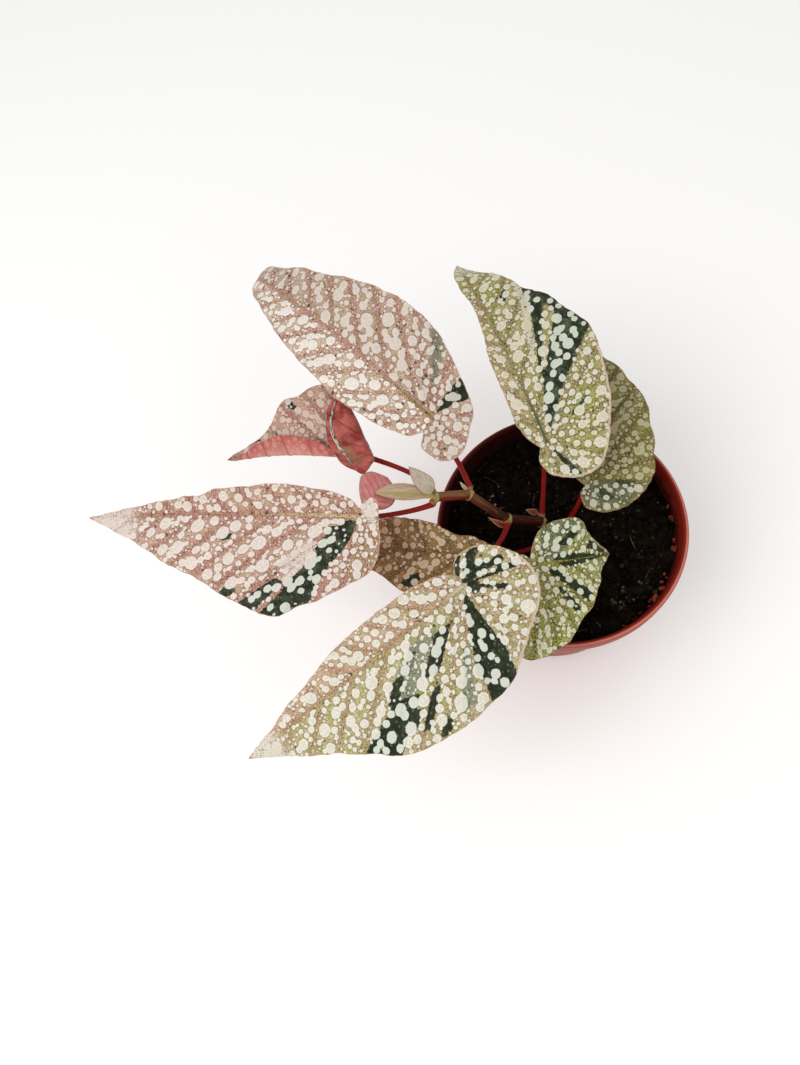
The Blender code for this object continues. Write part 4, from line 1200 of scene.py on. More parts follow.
def add_rod(name, path, radii, sides, reference, finish, slot, node="", flatten=1.0, **others):
    """A closed rod of rings round a path, with one more ring without radius beyond each end. Every rod
    knows its own length and turn: along in millimetres, and the cosine and sine of the turn. Other
    numbers along the rod get their end values again."""
    first = path[:1] - (path[1:2] - path[:1]) * 0.5
    last = path[-1:] + (path[-1:] - path[-2:-1]) * 0.5
    path = np.vstack((first, path, last))
    radii = np.pad(radii.reshape(len(radii), -1), ((1, 1), (0, 0)))
    rings = carried(path, radii, sides, reference, flatten)
    turn = turns(sides)[None, :]
    values = {"along": run_lengths(path)[:, None], "turn_x": np.cos(turn), "turn_y": np.sin(turn)}
    for word, value in others.items():
        values[word] = np.pad(value.reshape(len(value), -1), ((1, 1), (0, 0)), mode="edge")
    values = {word: np.broadcast_to(value, rings.shape[:2]) for word, value in values.items()}
    add_surface(name, [(rings, True, False)], finish, node, values)


def softened(profile, radius):
    """Round a profile's corners: each becomes a quadratic curve from one radius before to one after."""
    p = np.array(profile, float)
    share = np.linspace(0.0, 1.0, 5)[:, None]
    run = [p[:1]]
    for before, corner, after in zip(p[:-2], p[1:-1], p[2:]):
        back, on = before - corner, after - corner
        first = corner + back * min(radius / np.linalg.norm(back), 0.45)
        last = corner + on * min(radius / np.linalg.norm(on), 0.45)
        run.append((1 - share) ** 2 * first + 2 * share * (1 - share) * corner + share**2 * last)
    return np.vstack((*run, p[-1:]))


def turned_points(profile, sides):
    """A profile of radius and height carried round Z."""
    radius, height = profile[:, :1], profile[:, 1:]
    x, y = radius * np.cos(turns(sides)), radius * np.sin(turns(sides))
    return np.stack((x, y, np.broadcast_to(height, x.shape)), axis=-1)


def inner_radius(height):
    """The pot's inside radius at a height above the floor."""
    top = RIM_RADIUS - LIP
    bottom = BASE_RADIUS - WALL
    return bottom + (top - bottom) * (height - FLOOR) / (POT_HEIGHT - FLOOR)


def hole_tile(height, order):
    """The floor round one drain hole: an eighth of the ring between the grooves. Rows run from the
    hole's circle straight out to the tile's border, which is two arcs and two straight sides."""
    part = POT_SIDES // HOLE_COUNT
    turn = (order + np.arange(part + 1) / part) * FULL_TURN / HOLE_COUNT
    radius = np.linspace(GROOVE_INNER, GROOVE_OUTER, 13)
    arc = np.stack((np.cos(turn), np.sin(turn)), axis=1)
    border = np.vstack((
        arc[:-1] * GROOVE_OUTER, arc[-1] * radius[::-1, None][:-1], arc[::-1][:-1] * GROOVE_INNER,
        arc[0] * radius[:, None][:-1],
    ))
    middle = (order + 0.5) * FULL_TURN / HOLE_COUNT
    centre = HOLE_CIRCLE * np.array((math.cos(middle), math.sin(middle)))
    circle = centre + HOLE_RADIUS * unit(border - centre)
    share = np.linspace(0.0, 1.0, HOLE_RINGS)[:, None, None]
    place = circle + share * (border - circle)
    return np.concatenate((place, np.full((*place.shape[:2], 1), height)), axis=2)


def make_pot():
    """The pot: a profile turned about Z from the outer groove round the rim to the inner floor, the
    floor's centre disc, and between them a ring of tiles, each with its drain hole."""
    band_foot = POT_HEIGHT - RIM_BAND
    wall_top = inner_radius(band_foot) + WALL
    shell = softened((
        (GROOVE_OUTER, FOOT_DEPTH), (BASE_RADIUS - 3.0, 0.0), (BASE_RADIUS - 0.5, 0.0), (BASE_RADIUS, 0.8),
        (BASE_RADIUS + 2.2, 13.0), (BASE_RADIUS + 2.6, 14.0), (wall_top, band_foot - 1.0),
        (RIM_RADIUS - 0.7, band_foot), (RIM_RADIUS - 0.3, band_foot + 1.0), (RIM_RADIUS, POT_HEIGHT - 1.0),
        (RIM_RADIUS - 0.5, POT_HEIGHT - 0.2), (RIM_RADIUS - 1.1, POT_HEIGHT),
        (RIM_RADIUS - LIP + 0.5, POT_HEIGHT - 0.2), (inner_radius(POT_HEIGHT - 1.0), POT_HEIGHT - 1.0),
        (inner_radius(WALL_FOOT), WALL_FOOT), (inner_radius(FLOOR) - 1.5, FLOOR), (GROOVE_OUTER, FLOOR),
    ), POT_CORNER)
    centre = np.array(((GROOVE_INNER, FLOOR), (0.0, FLOOR)))
    under = np.array(((0.0, 0.0), (GROOVE_INNER - 1.0, 0.0), (GROOVE_INNER, FOOT_DEPTH)))
    grids = [(turned_points(profile, POT_SIDES), True, True) for profile in (shell, centre, under)]
    for order in range(HOLE_COUNT):
        top, bottom = hole_tile(FLOOR, order), hole_tile(FOOT_DEPTH, order)
        hole = np.stack((bottom[0], top[0]))
        grids += [(top, True, False), (bottom, True, True), (hole, True, False)]
    add_surface("pot_shell", grids, pot_finish(), "pot", sharp=POT_SHARP)


def pot_finish():
    """Matte terracotta-red plastic with fine upright streaks on its outside. The outer part of the lip's
    top is painted pale at the front right as painted light, and dark red at the back left as painted
    shade. The wall inside it is painted deep red as painted shade, darkest at the back left, and
    darkened to near black towards the soil."""
    n = Nodes("pot_plastic")
    place = n.space()
    x, y, z = n.parts(place)
    radius = n.math("POWER", n.plus(n.times(x, x), n.times(y, y)), 0.5)
    cloud = n.noise(place, 16.0, 3.0)
    grain = n.noise(place, 0.5, 2.0, 0.7)
    upright = n.noise(n.scaled(place, (1.0, 1.0, 0.12)), 1.2, 4.0, 0.7)
    colour = n.shades(cloud, 0.3, 0.7, (144, 65, 50), (157, 75, 60))
    colour = n.tint(colour, n.step(upright, 0.5, 0.75), 0.35, (176, 98, 82))
    colour = n.tint(colour, n.step(grain, 0.45, 0.8), 0.25, (184, 104, 88))

    torn = n.noise(place, 3.0, 4.0, 0.7)
    # painted light and shade by direction: 1 towards the front right, painted pale, 0 towards the back left,
    # painted dark
    painted_light_side = n.wobble(n.plus(n.times(x, 0.8), n.times(y, -0.6)), cloud, 20.0)
    painted_light_side = n.step(painted_light_side, -26.0, 2.0)
    top = n.step(n.wobble(z, torn, 0.36), POT_HEIGHT - 0.7, POT_HEIGHT - 0.2)
    colour = n.mix(top, colour, n.mix(painted_light_side, (120, 38, 26), (194, 112, 96)))
    # painted shade: deep red for the inside wall and the inner part of the lip's top, darkest at the back
    # left
    wall = n.mix(painted_light_side, (50, 11, 7), (124, 32, 20))
    lip = n.step(n.wobble(radius, torn, 0.36), RIM_RADIUS - 1.15, RIM_RADIUS - 1.45)
    slope = (RIM_RADIUS - LIP - BASE_RADIUS + WALL) / (POT_HEIGHT - FLOOR)
    inner = n.line(z, slope, BASE_RADIUS - WALL - slope * FLOOR)
    inside = n.step(n.minus(radius, inner), 0.8, 0.5)
    colour = n.mix(n.most(inside, n.times(lip, top)), colour, wall)
    # darker towards the soil, down to near black
    toward_soil = n.step(n.minus(z, n.times(n.noise(place, 4.0, 4.0, 0.7), 11.0)), 82.5, 78.5)
    colour = n.tint(colour, n.times(toward_soil, inside), 0.85, (38, 18, 12))

    scuffs = n.step(n.noise(n.scaled(place, (1.0, 1.0, 7.0)), 2.2, 4.0, 0.75), 0.66, 0.74)
    colour = n.tint(colour, scuffs, 0.16, (214, 160, 146))
    height = n.plus(grain, n.times(scuffs, 0.4))
    return n.finish(colour, n.line(cloud, 0.15, 0.42), height, 0.05, Specular_IOR_Level=0.16)


def soil_height(x, y):
    """The soil's surface: a low crown, lumps of four sizes, and ragged banks against the pot's wall."""
    share = np.hypot(x, y) / (inner_radius(SOIL_EDGE) - GAP)
    height = SOIL_CROWN + (SOIL_EDGE - SOIL_CROWN) * share**2
    for size, rise, seed in SOIL_LUMPS:
        height = height + rise * lattice_noise(x, y, size, seed)
    banks = sum(rise * lattice_noise(x, y, size, seed) for size, rise, seed in SOIL_BANKS)
    return height + eased(share, 0.9, 1.0) * banks


def make_soil():
    """The soil: a heightfield on a polar grid, and its side and bottom against the pot. It sinks away
    steeply round the cane's foot."""
    top_radius = inner_radius(SOIL_EDGE) - GAP
    turn = turns(SOIL_SIDES)
    share = np.linspace(0.0, 1.0, SOIL_RINGS)[:, None]
    x, y = top_radius * share * np.cos(turn), top_radius * share * np.sin(turn)
    height = soil_height(x, y)
    edge = inner_radius(height) - GAP
    spread = 1.0 + (edge / top_radius - 1.0) * eased(share, 0.85, 1.0)
    x, y = x * spread, y * spread
    away = np.hypot(x - CANE_FOOT[0] + CANE_HOLE_SHIFT, y - CANE_FOOT[1] + CANE_HOLE_SHIFT)
    height = height - (height - CANE_FOOT[2]) * eased(away, *CANE_HOLE)
    depth = np.linspace(1.0, 0.0, 14)[1:, None]
    side_height = WALL_FOOT + depth * (height[-1] - WALL_FOOT)
    side_radius = inner_radius(side_height) - GAP
    side = np.stack((side_radius * np.cos(turn), side_radius * np.sin(turn), side_height), axis=-1)
    low = np.array(((inner_radius(FLOOR) - 2.0, FLOOR + GAP), (0.0, FLOOR + GAP)))
    grid = np.vstack((np.stack((x, y, height), axis=-1), side, turned_points(low, SOIL_SIDES)))
    add_surface("soil_body", [(grid, True, False)], soil_finish(), "soil")


def soil_finish():
    """Peaty potting soil: almost black, partly as painted shade over dark peat, with brown crumbs, pale
    specks and a few green ones.
    """
    n = Nodes("potting_soil")
    place = n.space()
    lump = n.noise(place, 5.0, 4.0, 0.7)
    grit = n.noise(place, 1.0, 4.0, 0.8)
    # near black: dark peat made darker still as painted shade
    colour = n.shades(lump, 0.4, 0.72, (8, 4, 3), (31, 25, 17))
    colour = n.tint(colour, n.step(grit, 0.58, 0.8), 0.6, (46, 32, 22))
    specks = n.dots(place, 1.3, 0.1, 0.3, 0.025, 0.005, 0.05)
    colour = n.tint(colour, specks, 0.6, (124, 112, 88))
    moss = n.dots(place, 3.1, 0.2, 0.7, 0.04, 0.01, 0.1, torn=(grit, 2.0))
    colour = n.tint(colour, moss, 0.7, (58, 70, 34))
    return n.finish(colour, 0.95, n.plus(grit, n.times(lump, 0.8)), 0.7, Specular_IOR_Level=0.04)


def crumb_finish(name, low, high, size):
    """Small solid bits, each with its own shade by where it lies."""
    n = Nodes(name)
    place = n.space()
    colour = n.shades(n.noise(place, size, 3.0, 0.7), 0.35, 0.65, low, high)
    return n.finish(colour, 0.9, n.noise(place, 0.4, 3.0), 0.2, Specular_IOR_Level=0.06)


def cut_octahedron():
    """The points and faces of an octahedron with every face cut into four, its points on a ball."""
    corners = np.array(((1, 0, 0), (-1, 0, 0), (0, 1, 0), (0, -1, 0), (0, 0, 1), (0, 0, -1)), float)
    shell = ((0, 2, 4), (2, 1, 4), (1, 3, 4), (3, 0, 4), (2, 0, 5), (1, 2, 5), (3, 1, 5), (0, 3, 5))
    pairs = [(a, b) for a in range(6) for b in range(a + 1, 6) if corners[a] @ corners[b] == 0]
    middles = {pair: 6 + order for order, pair in enumerate(pairs)}
    halves = np.array([corners[a] + corners[b] for a, b in pairs]) / math.sqrt(2.0)
    faces = []
    for a, b, c in shell:
        ab, bc, ca = (middles[tuple(sorted(pair))] for pair in ((a, b), (b, c), (c, a)))
        faces += [(a, ab, ca), (ab, b, bc), (ca, bc, c), (ab, bc, ca)]
    return np.vstack((corners, halves)), np.array(faces)


def add_crumbs(name, finish, count, sizes, seed, arc=None):
    """Crumbs strewn on the soil, or on an arc of it: each is a cut octahedron with its points pushed in
    and out at random, stretched, turned about Z and sunk a little."""
    draw = np.random.default_rng(seed)
    ball, faces = cut_octahedron()
    share = np.sqrt(draw.uniform(0.0, 1.0, count))
    radius, angle = STREWN_RADIUS * share, draw.uniform(0.0, FULL_TURN, count)
    if arc:
        width, inner, middle, spread = arc
        radius = width * share + inner
        angle = math.radians(middle) + math.radians(spread) * draw.uniform(-1.0, 1.0, count)
    x, y = radius * np.cos(angle), radius * np.sin(angle)
    size = draw.uniform(*sizes, count) * draw.uniform(0.5, 1.0, count)
    body = ball[None] * draw.uniform(0.7, 1.25, (count, len(ball), 1)) * size[:, None, None]
    body = body * draw.uniform(0.55, 1.4, (count, 1, 3))
    spin = draw.uniform(0.0, FULL_TURN, count)
    cos, sin = np.cos(spin)[:, None], np.sin(spin)[:, None]
    across, along, up = body[..., 0], body[..., 1], body[..., 2]
    place = np.stack((across * cos - along * sin, across * sin + along * cos, up), axis=-1)
    place += np.stack((x, y, soil_height(x, y) + size * 0.1), axis=1)[:, None]
    faces = faces[None] + (np.arange(count) * len(ball))[:, None, None]
    add_piece(name, place.reshape(-1, 3), (faces.reshape(-1, 3).tolist(),), (finish,))


def add_fibres(finish):
    """Root fibres and threads of peat: thin rods lying on the soil along gently turning lines."""
    draw = np.random.default_rng(91)
    radius = FIBRE_START * np.sqrt(draw.uniform(0.02, 1.0, FIBRES))
    angle = draw.uniform(0.0, FULL_TURN, FIBRES)
    length = draw.uniform(3.0, 11.0, FIBRES)
    turn = draw.uniform(0.0, FULL_TURN, (FIBRES, 1))
    turn = turn + draw.uniform(-1.6, 1.6, (FIBRES, 1)) * np.linspace(0, 1, FIBRE_STEPS)
    stride = length[:, None] / FIBRE_STEPS
    x = radius[:, None] * np.cos(angle)[:, None] + np.cumsum(np.cos(turn) * stride, axis=1)
    y = radius[:, None] * np.sin(angle)[:, None] + np.cumsum(np.sin(turn) * stride, axis=1)
    keep = np.hypot(x, y).max(axis=1) < FIBRE_REACH
    x, y, turn = x[keep], y[keep], turn[keep]
    hump = np.sin(np.linspace(0, math.pi, FIBRE_STEPS))
    z = soil_height(x, y) + 0.1 + hump * draw.uniform(0.0, 0.9, (len(x), 1))
    thick = draw.uniform(0.09, 0.2, (len(x), 1)) * hump**0.3
    around = turns(5)[:, None]
    side = np.stack((-np.sin(turn), np.cos(turn), np.zeros_like(turn)), axis=-1)[:, :, None]
    ring = np.cos(around) * side + np.sin(around) * np.array(UP)
    rods = np.stack((x, y, z), axis=-1)[:, :, None] + thick[..., None, None] * ring
    add_surface("soil_fibres", [(rod, True, False) for rod in rods], finish)


def cane_line():
    """The cane's path in steps of a third of a millimetre: straight from node to node, with the corners
    eased by a running mean. Also the distance along it, and where the nodes lie on it."""
    corners = np.array((CANE_FOOT, *CANE_NODES))
    knots = run_lengths(corners)
    along = np.linspace(0.0, knots[-1], int(knots[-1] * 3))
    path = np.stack([np.interp(along, knots, corners[:, c]) for c in range(3)], axis=1)
    padded = np.pad(path, ((CANE_EASE // 2, CANE_EASE // 2), (0, 0)), mode="edge")
    mean = np.ones(CANE_EASE) / CANE_EASE
    inner = np.stack([np.convolve(padded[:, c], mean, mode="valid") for c in range(3)], axis=1)
    path[CANE_EASE:-CANE_EASE] = inner[CANE_EASE:-CANE_EASE]
    return path, along, knots[1:]


def make_cane():
    """The cane: it swells before each node, and two fine scars ring the node."""
    path, along, nodes = cane_line()
    after = along[:, None] - nodes[None, :]
    swell = (eased(after, *SWELL_BEFORE) * eased(after, *SWELL_AFTER)).max(axis=1)
    scars = sum(bell(after - scar, SCAR_WIDTH) for scar in SCARS).max(axis=1)
    share = along / along[-1]
    radii = CANE_RADIUS + (CANE_TOP_RADIUS - CANE_RADIUS) * share + NODE_SWELL * swell + SCAR_RISE * scars
    near = np.abs(after - RING_MIDDLE).min(axis=1)
    turn = turns(CANE_SIDES)
    ribs = 1.0 + 0.03 * np.cos(5.0 * turn) + 0.012 * np.cos(11.0 * turn)
    add_rod("cane_stem", path, radii[:, None] * ribs, CANE_SIDES, (0.2, 0.0, 1.0), cane_finish(), "cane",
            "cane", ring=near, height=share)


def cane_finish():
    """Wine-red bark with olive-brown streaks that run along it, pale lenticels, and yellow-green rings
    at the nodes. The lower cane is painted darker as painted shade from the leaves above."""
    n = Nodes("cane_bark")
    place = n.rod(9.0)
    streak = n.noise(place, 0.8, 4.0, 0.6)
    fine = n.noise(n.rod(2.0), 0.3, 3.0, 0.7)
    across = n.wobble(n.math("ABSOLUTE", n.value("turn_x")), streak, 1.6)
    middle = n.times(n.step(across, 0.85, 0.35), n.step(n.value("turn_y"), -0.4, 0.2))
    # painted shade: darker bark on the lower cane, under the leaves
    shaded_low_bark = n.mix(middle, (57, 14, 8), (58, 26, 12))
    young = n.mix(middle, (116, 40, 27), (122, 88, 52))
    colour = n.mix(n.step(n.value("height"), 0.64, 0.95), shaded_low_bark, young)
    glint = n.step(n.noise(n.rod(16.0), 0.35), 0.58, 0.68)
    colour = n.tint(colour, n.times(glint, middle), 0.3, (160, 124, 90))
    colour = n.tint(colour, n.dots(place, 0.55, 0.05, 0.06, 0.2, 0.05, 0.02), 0.5, (190, 160, 120))
    ring = n.step(n.wobble(n.value("ring"), fine, 0.8), 0.95, 0.5)
    colour = n.tint(colour, ring, 0.75, n.shades(fine, 0.35, 0.65, (134, 124, 62), (186, 176, 122)))
    return n.finish(colour, n.line(fine, 0.2, 0.34), n.plus(streak, fine), 0.12, Specular_IOR_Level=0.09)


def cane_axis(place):
    """The cane's mean direction near a place on it."""
    points = np.array((CANE_FOOT, *CANE_NODES))
    near = np.linalg.norm(points - place, axis=1).argmin()
    return unit(points[min(near + 1, len(points) - 1)] - points[max(near - 1, 0)])


def make_petiole(name, node, heading, finish):
    """A stalk from inside the cane's bark to inside the blade, on a cubic curve that leaves the cane
    along heading and meets the blade square. It flares at both ends and has a shallow groove."""
    leaf = LEAVES[name.replace("petiole", "leaf")]
    zero = np.zeros(1)
    normal = blade_normal(leaf, zero, zero)[0]
    node = np.array(CANE_NODES[node] if isinstance(node, int) else node, float)
    way, axis = unit(np.array(heading)), cane_axis(node)
    square = unit(way - way.dot(axis) * axis)
    start = node + square * (CANE_RADIUS + NODE_SWELL + GAP)
    end = blade_points(leaf, zero, zero)[0] - normal * SEAT_DEPTH
    reach = np.linalg.norm(end - start)
    t = np.linspace(0.0, 1.0, 64)[:, None]
    pull_start = start + (LEAVING_LIFT * square + way) * reach * LEAVING_PULL
    pull_end = end - normal * min(SEAT_PULL, reach * SEAT_PULL_SHARE)
    path = (1 - t) ** 3 * start + 3 * t * (1 - t) ** 2 * pull_start
    path = path + 3 * t**2 * (1 - t) * pull_end + t**3 * end
    roots = (start - square * ROOT_DEPTH, start - square * ROOT_DEPTH / 2)
    path = np.vstack((*roots, path, end + normal * 0.1))
    t = np.concatenate(([0.0, 0.0], t[:, 0], [1.0]))
    radii = PETIOLE_RADIUS * (1.0 - PETIOLE_WAIST * np.sin(math.pi * t))
    radii = radii + ROOT_FLARE[0] * np.exp(-t * reach / ROOT_FLARE[1])
    radii = radii + SEAT_FLARE[0] * np.exp((t * reach - reach) / SEAT_FLARE[1])
    groove = 1.0 - PETIOLE_GROOVE * bell(turns(PETIOLE_SIDES) - math.pi / 2, 0.35)
    radii = radii[:, None] * groove
    add_rod(name + "_stalk", path, radii, PETIOLE_SIDES, (1.0, 0.0, 0.3), finish, "petiole", name)


def petiole_finish():
    """Shining wine-red stalk with long pale streaks, and greenish where it leaves the cane."""
    n = Nodes("petiole_skin")
    streak = n.noise(n.rod(14.0), 0.7, 3.0, 0.6)
    fine = n.noise(n.rod(2.0), 0.25, 2.0, 0.7)
    colour = n.shades(streak, 0.35, 0.7, (110, 12, 7), (144, 26, 15))
    colour = n.tint(colour, n.step(fine, 0.6, 0.75), 0.2, (180, 70, 52))
    green = n.step(n.plus(n.value("along"), n.times(streak, 1.5)), 3.2, 2.2)
    colour = n.tint(colour, green, 0.4, (176, 150, 90))
    return n.finish(colour, 0.4, n.plus(streak, fine), 0.08, Specular_IOR_Level=0.14)


def make_lobe():
    """The lobe hangs from the underside of leaf C beside its petiole, veined like a fan."""
    leaf = LEAVES["leaf_c"]
    u, v = (np.array([value]) for value in LOBE_ROOT)
    root = (blade_points(leaf, u, v) - blade_normal(leaf, u, v) * LOBE_DROP)[0]
    lobe = Leaf(root, LOBE_TIP, (0.3, -0.3, 1.0), 0.5, sinus=(-0.3, 0), waves=3, cup=-0.1,
                out=((1, 1.8), (7, 5.8), (14, 8), (21, 6)),
                back=((23, -4.2), (15, -7.8), (7, -6.5), (1, -1.8)))
    sheet = Sheet(lobe, 110, 20, 18, 3.4)
    furrow = 0.16 * (bell(sheet.vein, 0.4) - 0.5) * np.clip(sheet.edge / 2.0, 0.0, 1.0)
    lift = furrow + 0.25 * lattice_noise(sheet.u, sheet.v, 3.5, 71) * sheet.t
    add_scale("leaf_c_lobe_skin", lobe, sheet, lift, 0.5, 0.3, lobe_finish(), "leaf_c_lobe")


def lobe_finish():
    """Rose-pink underside with soft wine-red fan veins, and a tan margin that is brown on its far side."""
    n = Nodes("lobe_skin")
    flat = n.flat(5.0)
    cloud = n.noise(flat, 4.0, 3.0)
    fine = n.noise(flat, 0.6, 3.0, 0.7)
    colour = n.shades(cloud, 0.3, 0.7, (220, 128, 124), (238, 160, 156))
    thread = n.step(n.plus(n.value("vein"), n.times(fine, 0.5)), 1.0, 0.3)
    colour = n.tint(colour, thread, 0.4, (176, 72, 74))
    colour = n.tint(colour, n.step(n.net(flat, 1.2), 0.2, 0.02), 0.2, (178, 80, 82))
    brown = n.shades(n.value("side"), -0.3, 0.3, (204, 160, 136), (146, 104, 74))
    rim = n.step(n.plus(n.value("edge"), n.times(fine, 1.2)), 1.7, 0.7)
    colour = n.tint(colour, rim, 0.7, brown)
    return n.finish(colour, 0.45, n.plus(thread, n.times(fine, 0.3)), 0.2, Specular_IOR_Level=0.4)


def make_top_sheath():
    """The pale sheath: a keeled, boat-shaped scale with fine lines along it."""
    sheet = Sheet(SHEATH, 90, 16, 14, 1.6)
    lift = 0.35 * bell(sheet.rib, 0.6) + 0.12 * lattice_noise(sheet.u, sheet.v, 2.0, 72)
    finish = sheath_finish("sheath_skin", (190, 182, 166), (168, 150, 128), (150, 112, 84), 0.5)
    add_scale("top_sheath_skin", SHEATH, sheet, lift, 0.45, 0.22, finish, "top_sheath")


def sheath_finish(name, pale, deep, rim, green):
    """Thin, pale, lined skin: lighter in its middle, with a brown-green rim and lime at its foot."""
    n = Nodes(name)
    flat = n.flat(3.0)
    lines = n.noise(n.scaled(flat, (0.25, 1.6, 1.0)), 0.8, 3.0, 0.6)
    colour = n.shades(lines, 0.35, 0.65, pale, deep)
    colour = n.tint(colour, n.step(n.value("vein"), 0.3, 0.08), 0.35, deep)
    foot = n.step(n.parts(flat)[0], SHEET / 2 + 6.5, SHEET / 2 + 2.5)
    colour = n.tint(colour, foot, green, (150, 160, 84))
    colour = n.tint(colour, n.step(n.plus(n.value("edge"), n.times(lines, 0.4)), 0.75, 0.3), 0.75, rim)
    return n.finish(colour, 0.42, lines, 0.12, Specular_IOR_Level=0.45)


def make_bud():
    """The closed bud at the tip of the cane: a flat spindle with a keel and two overlapping scales, whose
    edges are fine ridges that wind from the foot to the tip."""
    top, below = np.array(CANE_NODES[-1]), np.array(CANE_NODES[-2])
    way = unit(top - below)
    start = top - way * 0.4
    t = np.linspace(0.0, 1.0, 90)[:, None]
    bend = top + way * BUD_LIFT + np.array(BUD_BEND)
    path = (1 - t) ** 2 * start + 2 * t * (1 - t) * bend + t**2 * np.array(BUD_TIP)
    run, _ = smooth_run(np.stack((BUD_LENGTH_SHARES, BUD_RADII), axis=1), 400)
    radii = np.interp(t, run[:, 0], run[:, 1])
    turn = turns(BUD_SIDES)[None, :]
    lap = np.mod(turn - (0.4 + 1.2 * t), FULL_TURN)
    shape = 1.0 + 0.09 * np.exp(-lap / 0.7) * np.sin(math.pi * t) + 0.05 * bell(turn - BUD_KEEL, 0.2)
    add_rod("terminal_bud_skin", path, radii * shape, BUD_SIDES, UP, bud_finish(), "sheath", "terminal_bud",
            BUD_FLATNESS, lap=lap, share=t)


def bud_finish():
    """Cream-pink scales above, a yellow-green keel along their lower third, and fine lines along them."""
    n = Nodes("bud_skin")
    lines = n.noise(n.rod(11.0), 0.35, 3.0, 0.6)
    side_x, side_y = n.value("turn_x"), n.value("turn_y")
    colour = n.shades(lines, 0.35, 0.65, (200, 178, 148), (176, 150, 116))
    flush = n.step(n.plus(side_x, n.times(lines, 0.6)), -0.2, 1.0)
    colour = n.tint(colour, flush, 0.35, (196, 146, 124))
    keel = n.math("ABSOLUTE", n.wobble(n.plus(side_x, 0.55), lines, 0.3))
    keel = n.times(n.step(keel, 0.34, 0.1), n.step(side_y, -0.1, 0.3))
    colour = n.tint(colour, keel, 0.8, (158, 146, 84))
    colour = n.tint(colour, n.step(n.value("share"), 0.3, 0.1), 0.6, (154, 160, 88))
    colour = n.tint(colour, n.step(n.value("lap"), 0.14, 0.03), 0.5, (166, 120, 96))
    return n.finish(colour, 0.4, lines, 0.12, Specular_IOR_Level=0.45)


def make_scrap(name, start, tip, width, slot, node, colours, seed):
    """A small scale at a node of the cane: a dried, crumpled scrap of sheath, or a fresh stipule. Its foot
    reaches back to the bark."""
    start, tip = np.array(start), np.array(tip)
    foot = start + (start - tip) * SCRAP_FOOT
    scrap = Leaf(foot, tip, (0.0, -0.3, 1.0), 0.4, sinus=(-0.3, 0), waves=0, cup=-0.3,
                 out=((0.8, width), (3.6, width)), back=((4.0, -0.7 * width), (0.8, -width)))
    sheet = Sheet(scrap, 60, 10, 9, 0.9)
    lift = 0.3 * lattice_noise(sheet.u, sheet.v, 0.9, seed) * sheet.t
    finish = sheath_finish(name + "_skin", *colours, 0.0)
    add_scale(name + "_scrap", scrap, sheet, lift, 0.4, 0.22, finish, node)


def make_curl(leaf, sheet):
    """The rolled edge of leaf B's folded lobe: a flattened rod laid on the lobe through its places, each
    a vein count and a share of the way to the margin. It is widest at its low end."""
    points = []
    for number, share, height in CURL_PLACES:
        spot = nearest_point(sheet, 1, number, share)
        u, v = sheet.u.ravel()[[spot]], sheet.v.ravel()[[spot]]
        points.append((blade_points(leaf, u, v) - height * blade_normal(leaf, u, v))[0])
    path, _ = smooth_run(points, 60)
    t = np.linspace(0.0, 1.0, len(path))
    radii = (0.45 + 0.5 * t) * np.sin(math.pi * np.clip(t, 0.04, 0.97)) ** 0.3
    radii *= 1.0 + 0.2 * lattice_noise(t * 26.0, 0 * t, 3.0, 61)
    add_rod("leaf_b_curl", path, radii, 16, (0.0, -0.35, 1.0), curl_finish(), "leaf_pink", flatten=0.7)


def curl_finish():
    """Dark green with silver streaks and a brown end."""
    n = Nodes("curl_skin")
    streak = n.noise(n.rod(4.0), 0.5, 3.0, 0.6)
    colour = n.shades(streak, 0.44, 0.56, (44, 58, 34), (196, 204, 184))
    colour = n.tint(colour, n.step(n.noise(n.rod(6.0), 1.1), 0.56, 0.64), 0.6, (176, 120, 96))
    return n.finish(colour, 0.45, streak, 0.1, Specular_IOR_Level=0.2)


def set_camera():
    """The photograph's viewpoint. The matrix's columns are the camera's right, up and backward axes."""
    lens = bpy.data.cameras.new("camera")
    lens.sensor_fit = "VERTICAL"
    lens.sensor_height = SENSOR
    lens.lens = SENSOR * FRAME_WIDTH / FRAME_HEIGHT
    camera = bpy.data.objects.new("camera", lens)
    columns = np.array((CAMERA_RIGHT, CAMERA_UP, [-x for x in CAMERA_FORWARD])).T
    matrix = Matrix(columns.tolist()).to_4x4()
    matrix.translation = [x * MM for x in CAMERA_PLACE]
    camera.matrix_world = matrix
    bpy.context.scene.collection.objects.link(camera)
    bpy.context.scene.camera = camera


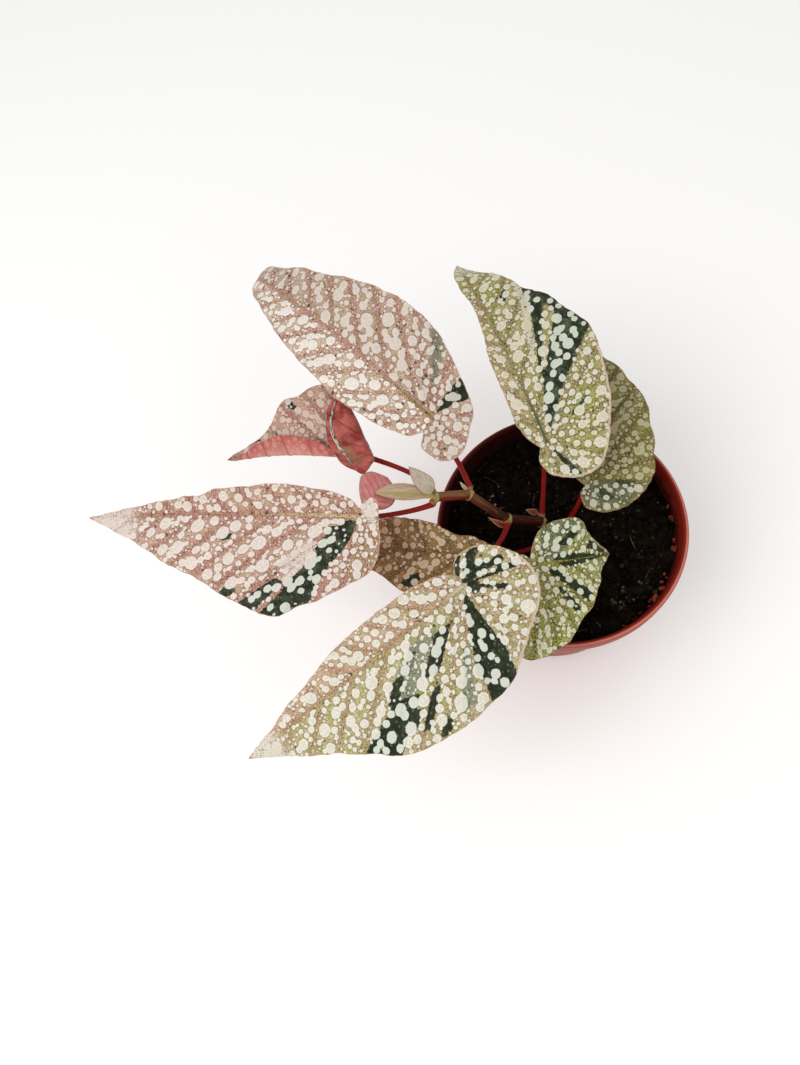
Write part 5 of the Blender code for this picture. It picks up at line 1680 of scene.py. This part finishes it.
def set_stage():
    """A plain pale floor and a soft, bright room. The colours are shown as they are, with no film look."""
    scene = bpy.context.scene
    scene.view_settings.view_transform = "Standard"
    mesh = bpy.data.meshes.new("floor")
    corners = [(x * FLOOR_REACH, y * FLOOR_REACH, 0) for x, y in ((-1, -1), (1, -1), (1, 1), (-1, 1))]
    mesh.from_pydata(corners, [], [(0, 1, 2, 3)])
    floor = bpy.data.objects.new("floor", mesh)
    n = Nodes("floor")
    n.plug(n.shader.inputs["Emission Color"], (255, 255, 255))
    mesh.materials.append(n.finish((252, 252, 251), 0.95, Specular_IOR_Level=0.1, Emission_Strength=0.1))
    scene.collection.objects.link(floor)
    world = bpy.data.worlds.new("room")
    world.use_nodes = True
    world.node_tree.nodes["Background"].inputs[0].default_value = (1.0, 1.0, 1.0, 1.0)
    world.node_tree.nodes["Background"].inputs[1].default_value = ROOM_LIGHT
    scene.world = world
    for name, place, size, power in LAMPS:
        lamp = bpy.data.lights.new(name, "AREA")
        lamp.shape = "DISK"
        lamp.size = size
        lamp.energy = power
        lamp.color = LAMP_COLOUR
        light = bpy.data.objects.new(name, lamp)
        light.location = place
        light.rotation_euler = (Vector(LAMP_AIM) - Vector(place)).to_track_quat("-Z", "Y").to_euler()
        scene.collection.objects.link(light)


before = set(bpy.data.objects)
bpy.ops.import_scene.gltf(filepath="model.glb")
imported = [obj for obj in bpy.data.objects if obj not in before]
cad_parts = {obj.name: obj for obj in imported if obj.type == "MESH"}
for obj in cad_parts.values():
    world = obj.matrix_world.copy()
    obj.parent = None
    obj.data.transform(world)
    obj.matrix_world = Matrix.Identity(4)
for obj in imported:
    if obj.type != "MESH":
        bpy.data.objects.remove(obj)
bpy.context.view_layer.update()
set_camera()
set_stage()
sheets = {name: make_leaf(name, order) for order, name in enumerate(LEAVES)}
make_pot()
make_soil()
grains = {name: crumb_finish(name, *look) for name, look in GRAINS.items()}
for name, (grain, *strewn) in SOIL_BITS.items():
    add_crumbs(name, grains[grain], *strewn)
add_fibres(grains["root_fibre"])
make_cane()
red = petiole_finish()
for name, (node, heading) in PETIOLES.items():
    make_petiole(name, node, heading, red)
make_curl(LEAVES["leaf_b"], sheets["leaf_b"])
make_lobe()
make_top_sheath()
make_bud()
for order, (name, scrap) in enumerate(SCRAPS.items()):
    make_scrap(name, *scrap, 80 + order)
